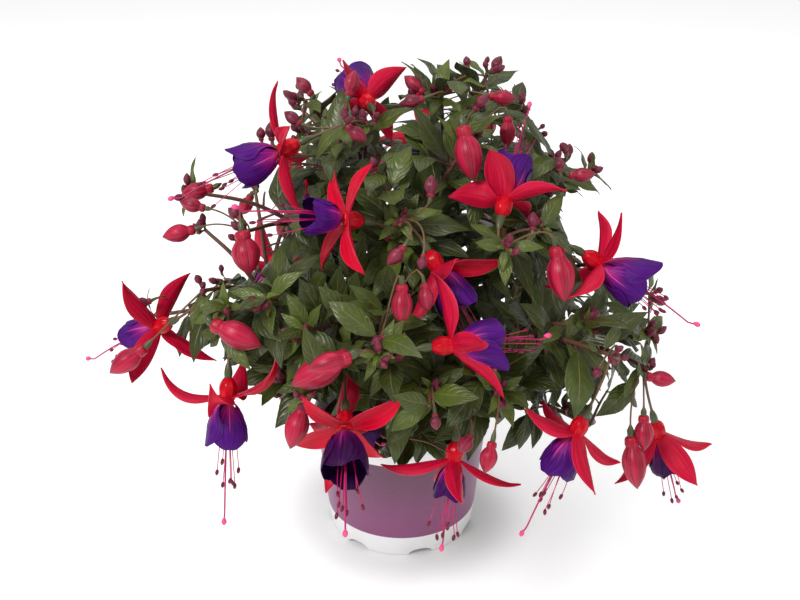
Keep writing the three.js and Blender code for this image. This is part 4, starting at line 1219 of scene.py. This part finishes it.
def grow_tips(plants, room):
    for plant in plants.values():
        for i, shoot in enumerate(plant["shoots"]):
            if shoot[-1][2] > YOUNG_FROM:
                size = 1.0 if i >= len(plant["flowers"]) else 0.8
                add_growing_tip(plant, room, shoot[-1], tangent_at(shoot, 1), plant["number"] * 13 + i, size)


# What stands already, for keeping new leaves clear
class Room:
    CELL = 30

    def __init__(self, nodes):
        meshes = [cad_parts[node].data for node in nodes]
        self.solids = [BVHTree.FromPolygons([v.co / METRE for v in mesh.vertices],
                                            [tuple(p.vertices) for p in mesh.polygons]) for mesh in meshes]
        self.cells = {}

    def cell(self, point):
        return tuple(int(v // self.CELL) for v in point)

    def near(self, points):
        x, y, z = self.cell(np.mean(points, axis=0))
        steps = (-1, 0, 1)
        return (tree for i in steps for j in steps for k in steps
                for tree in self.cells.get((x + i, y + j, z + k), ()))

    def is_clear(self, point, gap):
        return not any(solid.find_nearest(Vector(point), gap)[0] for solid in self.solids)

    def takes(self, points, gap=1.0):
        tree = leaf_tree(points)
        return (not any(tree.overlap(solid) for solid in self.solids)
                and all(self.is_clear(point, gap) for point in points)
                and not any(tree.overlap(other) for other in self.near(points)))

    def keep(self, points):
        self.cells.setdefault(self.cell(np.mean(points, axis=0)), []).append(leaf_tree(points))


def leaf_shade(root, seed):
    high = np.clip((root[2] - 190) / 150, 0, 1)
    return float(np.clip(0.16 * high + between(-0.16, 0.24, seed, 6, 21), 0, 1))


# Places that leaves leave open: the star, corolla and front sepals of each flower, and each bud
def open_places():
    places = [((x, y, z), OPEN_BUD_RADIUS) for x, y, z, *_ in BUDS + SMALL_BUDS]
    for key, flower in FLOWERS.items():
        mouth = vec(flower.star) + heading(*flower.aim) * COROLLA_LENGTH * 0.7 * flower.bell
        places += [(flower.star, OPEN_RADIUS), (mouth, OPEN_RADIUS)]
        for i, tip in enumerate(flower.tips if key in SEEN_WIDTHS else ()):
            middle = on_sepal(flower_frame(flower), i, SEPAL_LENGTH * flower.long * 0.6,
                              math.radians(tip) - flower.curl / 2)
            places.append((middle, OPEN_SEPAL_RADIUS))
    points, radii = zip(*places)
    ways = vec(EYE) - vec(points)
    return vec(points), vec(radii), ways / np.linalg.norm(ways, axis=1, keepdims=True)


OPEN_PLACES, OPEN_RADII, OPEN_WAYS = open_places()


# True if no part of a leaf but its root stands before one of the open places, or out of the outline
# of the leaf mass
def is_open(points):
    return not is_in_the_way(points[2:]) and is_in_mass(points[2:])


def is_in_the_way(points):
    for point in points:
        gap = point - OPEN_PLACES
        ahead = (gap * OPEN_WAYS).sum(axis=1)
        beside = np.linalg.norm(gap - ahead[:, None] * OPEN_WAYS, axis=1)
        if ((ahead > 0) & (ahead < OPEN_REACH) & (beside < OPEN_RADII)).any():
            return True
    return False


def is_in_mass(points):
    heights, lefts, rights = zip(*LEAF_MASS)
    c, s = math.cos(EYE_DIP), math.sin(EYE_DIP)
    for x, y, z in vec(points) - vec(EYE):
        share = MIDDLE_DISTANCE / (c * y - s * z)
        side, rise = x * share, (s * y + c * z) * share
        if not heights[0] < rise < heights[-1]:
            return False
        if not np.interp(rise, heights, lefts) < side < np.interp(rise, heights, rights):
            return False
    return True


def grow_frame_leaves(plants, room):
    for plant in plants.values():
        for i, shoot in enumerate(plant["shoots"]):
            first = plant["number"] * 10 + i
            for k, leaf in enumerate(frame_leaves(shoot, first, i >= len(plant["flowers"]))):
                found = fitted_frame_leaf(plant["tree"], *leaf)
                if found:
                    (seat, aim), (face, length), seed = found, leaf[2:], first * 3 + k
                    room.keep(leaf_outline(seat, aim, face, length))
                    add_leaf(plant, seat, aim, face, length, seed, leaf_shade(seat, seed), slim=0.9)


# A small leaf at a share of a twig or shoot, where there is room for it
def try_leaf(plant, room, curve, share, hand, seed, length, young=0.0, grid=SMALL_GRID, slim=0.9, shade=None):
    root, along = point_at(curve, share), tangent_at(curve, share)
    out = outward_from(root, 150)
    way = leaf_way(along, out, hand, between(-1.2, 1.2, seed, 1, 30), 0.55, 0.35,
                   between(0.35, -0.35, seed, 2, 30))
    face = out + UP * between(0.5, 1.1, seed, 3, 30)
    droop = between(0.08, 0.38, seed, 4, 30)
    for turn in SMALL_TURNS:
        aim = spun(way, turn)
        points = leaf_outline(root, aim, face, length, droop)
        if is_open(points) and room.takes(points):
            room.keep(points)
            shade = leaf_shade(root, seed) + young if shade is None else shade
            add_leaf(plant, root, aim, face, length, seed, shade, grid, droop, slim)
            return


def grow_shoot_leaves(plants, room):
    for plant in plants.values():
        for i, shoot in enumerate(plant["shoots"]):
            for share, size, slim in SHOOT_LEAVES:
                young = 0.35 if share > 0.9 else 0.15 if share > 0.6 else 0
                grid = (15, 7) if size > 0.7 else (13, 5)
                for hand in (-1, 1):
                    seed = plant["number"] * 100 + i * 10 + share * 7 + hand
                    try_leaf(plant, room, shoot, share, hand, seed, SHOOT_LEAF_LENGTH * size, young, grid, slim)
        for share in STEM_LEAVES:
            for hand in (-1, 1):
                seed = plant["number"] * 100 + 70 + share * 9 + hand
                try_leaf(plant, room, plant["curve"], share, hand, seed, STEM_LEAF_LENGTH, shade=0.02)


# Short leafy twigs that fill the crown between the shoots
def grow_twigs(plants, room):
    rng = random.Random(11)
    roots = [(plant, point) for plant in plants.values() for curve in [plant["curve"][1:]] + plant["shoots"]
             for point in smooth(curve, 8) if point[2] > TWIG_ROOT_FROM]
    places = np.array([point for _, point in roots])
    tips = [shoot[-1] for plant in plants.values() for shoot in plant["shoots"]]
    middle = vec(CROWN_MIDDLE)
    made = []
    for number in range(TWIGS * 12):
        if len(made) >= TWIGS:
            break
        share = 0.25 + 0.75 * rng.random() ** 0.6
        target = middle + (rng.choice(tips) - middle) * share
        target = target + vec([rng.gauss(0, TWIG_SCATTER) for _ in range(3)])
        if target[2] < TWIG_FROM or is_in_the_way([target]) or not is_in_mass([target]):
            continue
        if any(np.linalg.norm(target - other) < TWIG_SPACING for other in made):
            continue
        distance = np.linalg.norm(places - target, axis=1)
        best = int(distance.argmin())
        if not TWIG_REACH[0] < distance[best] < TWIG_REACH[1] or not room.is_clear(target, TWIG_CLEAR):
            continue
        plant, root = roots[best]
        made.append(target)
        curve = shoot_curve(root, target)
        add_rod(plant["wood"], smooth(curve, 4), np.linspace(*TWIG_RADIUS, 9), 6, np.linspace(0.5, 1.0, 9))
        young = 0.25 * max(0, share - 0.8) / 0.2
        if share > 0.86 and number % 3 == 0:
            add_growing_tip(plant, room, target, tangent_at(curve, 1), number, 0.8)
        for place, size in TWIG_LEAVES:
            for hand in (-1, 1):
                seed = number * 5 + place * 3 + hand
                length = size * between(*TWIG_LEAF_LENGTH, seed, 5, 30)
                try_leaf(plant, room, curve, place, hand, seed, length, young)


# Stage, lights and camera

# A white floor with a painted glow, weaker round the pot as a painted shadow, so that the shadow at its foot
# shows
def make_stage():
    mesh = bpy.data.meshes.new("floor")
    corners = [(x * FLOOR_REACH, y * FLOOR_REACH, 0) for x, y in ((-1, -1), (1, -1), (1, 1), (-1, 1))]
    mesh.from_pydata(corners, [], [(0, 1, 2, 3)])
    floor = bpy.data.objects.new("floor", mesh)
    bpy.context.scene.collection.objects.link(floor)
    s = Shader("floor_white")
    where = s.node("ShaderNodeTexCoord", out=OBJECT_COORDINATES)
    away = s.node("ShaderNodeVectorMath", {0: where}, out=1, operation="LENGTH")
    # Painted glow of the floor, dimmed near the pot as a painted shadow ring
    painted_glow = {"Emission Color": (1, 1, 1), "Emission Strength": s.ramp(away, 0.045, 0.10, (0.02, 0.46))}
    mesh.materials.append(s.surface(FLOOR_WHITE, 0.9, None, 0.0, **painted_glow))
    world = bpy.data.worlds.new("studio")
    bpy.context.scene.world = world
    world.use_nodes = True
    world.node_tree.nodes["Background"].inputs["Color"].default_value = (1, 1, 1, 1)
    world.node_tree.nodes["Background"].inputs["Strength"].default_value = WORLD_LIGHT


def make_lights():
    for name, place, target, size, power in LIGHTS:
        light = bpy.data.lights.new(name, "AREA")
        light.shape = "RECTANGLE"
        light.size, light.size_y = size
        light.energy = power
        lamp = bpy.data.objects.new(name, light)
        lamp.location = place
        lamp.rotation_euler = (Vector(target) - Vector(place)).to_track_quat("-Z", "Y").to_euler()
        bpy.context.scene.collection.objects.link(lamp)


def make_camera():
    camera = bpy.data.cameras.new("camera")
    camera.lens = CAMERA_LENS
    camera.sensor_width = SENSOR_WIDTH
    eye = bpy.data.objects.new("camera", camera)
    eye.location = vec(EYE) * METRE
    eye.rotation_euler = (math.pi / 2 - EYE_DIP, 0, 0)
    bpy.context.scene.collection.objects.link(eye)
    bpy.context.scene.camera = eye
    settings = bpy.context.scene.view_settings
    settings.view_transform = "Standard"
    settings.look = "None"


MATERIALS = {
    "leaf": leaf_material(), "stem": stem_material(), "sepal": sepal_material(),
    "corolla": corolla_material(), "bud": bud_material(), "stamen": stamen_material(),
    "pot": pot_material(), "band": band_material(), "soil": soil_material(),
}

make_camera()
make_lights()
make_stage()
make_pot()
make_band()
make_soil()
for number, key in enumerate(FLOWERS):
    make_flower(key, number)

plants = grow()
hang_buds(plants)
room = Room([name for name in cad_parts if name.startswith("flower") or name == "pot"])
grow_frame_leaves(plants, room)
grow_tips(plants, room)
grow_shoot_leaves(plants, room)
grow_twigs(plants, room)
for name, plant in plants.items():
    plant["wood"].piece(f"wood_{name}", "stem", MATERIALS["stem"])
    plant["leaves"].piece(f"leaves_{name}", "foliage", MATERIALS["leaf"], f"stem_{name}", sharp=60)
    if plant["buds"].count:
        plant["buds"].piece(f"buds_{name}", "bud", MATERIALS["bud"])
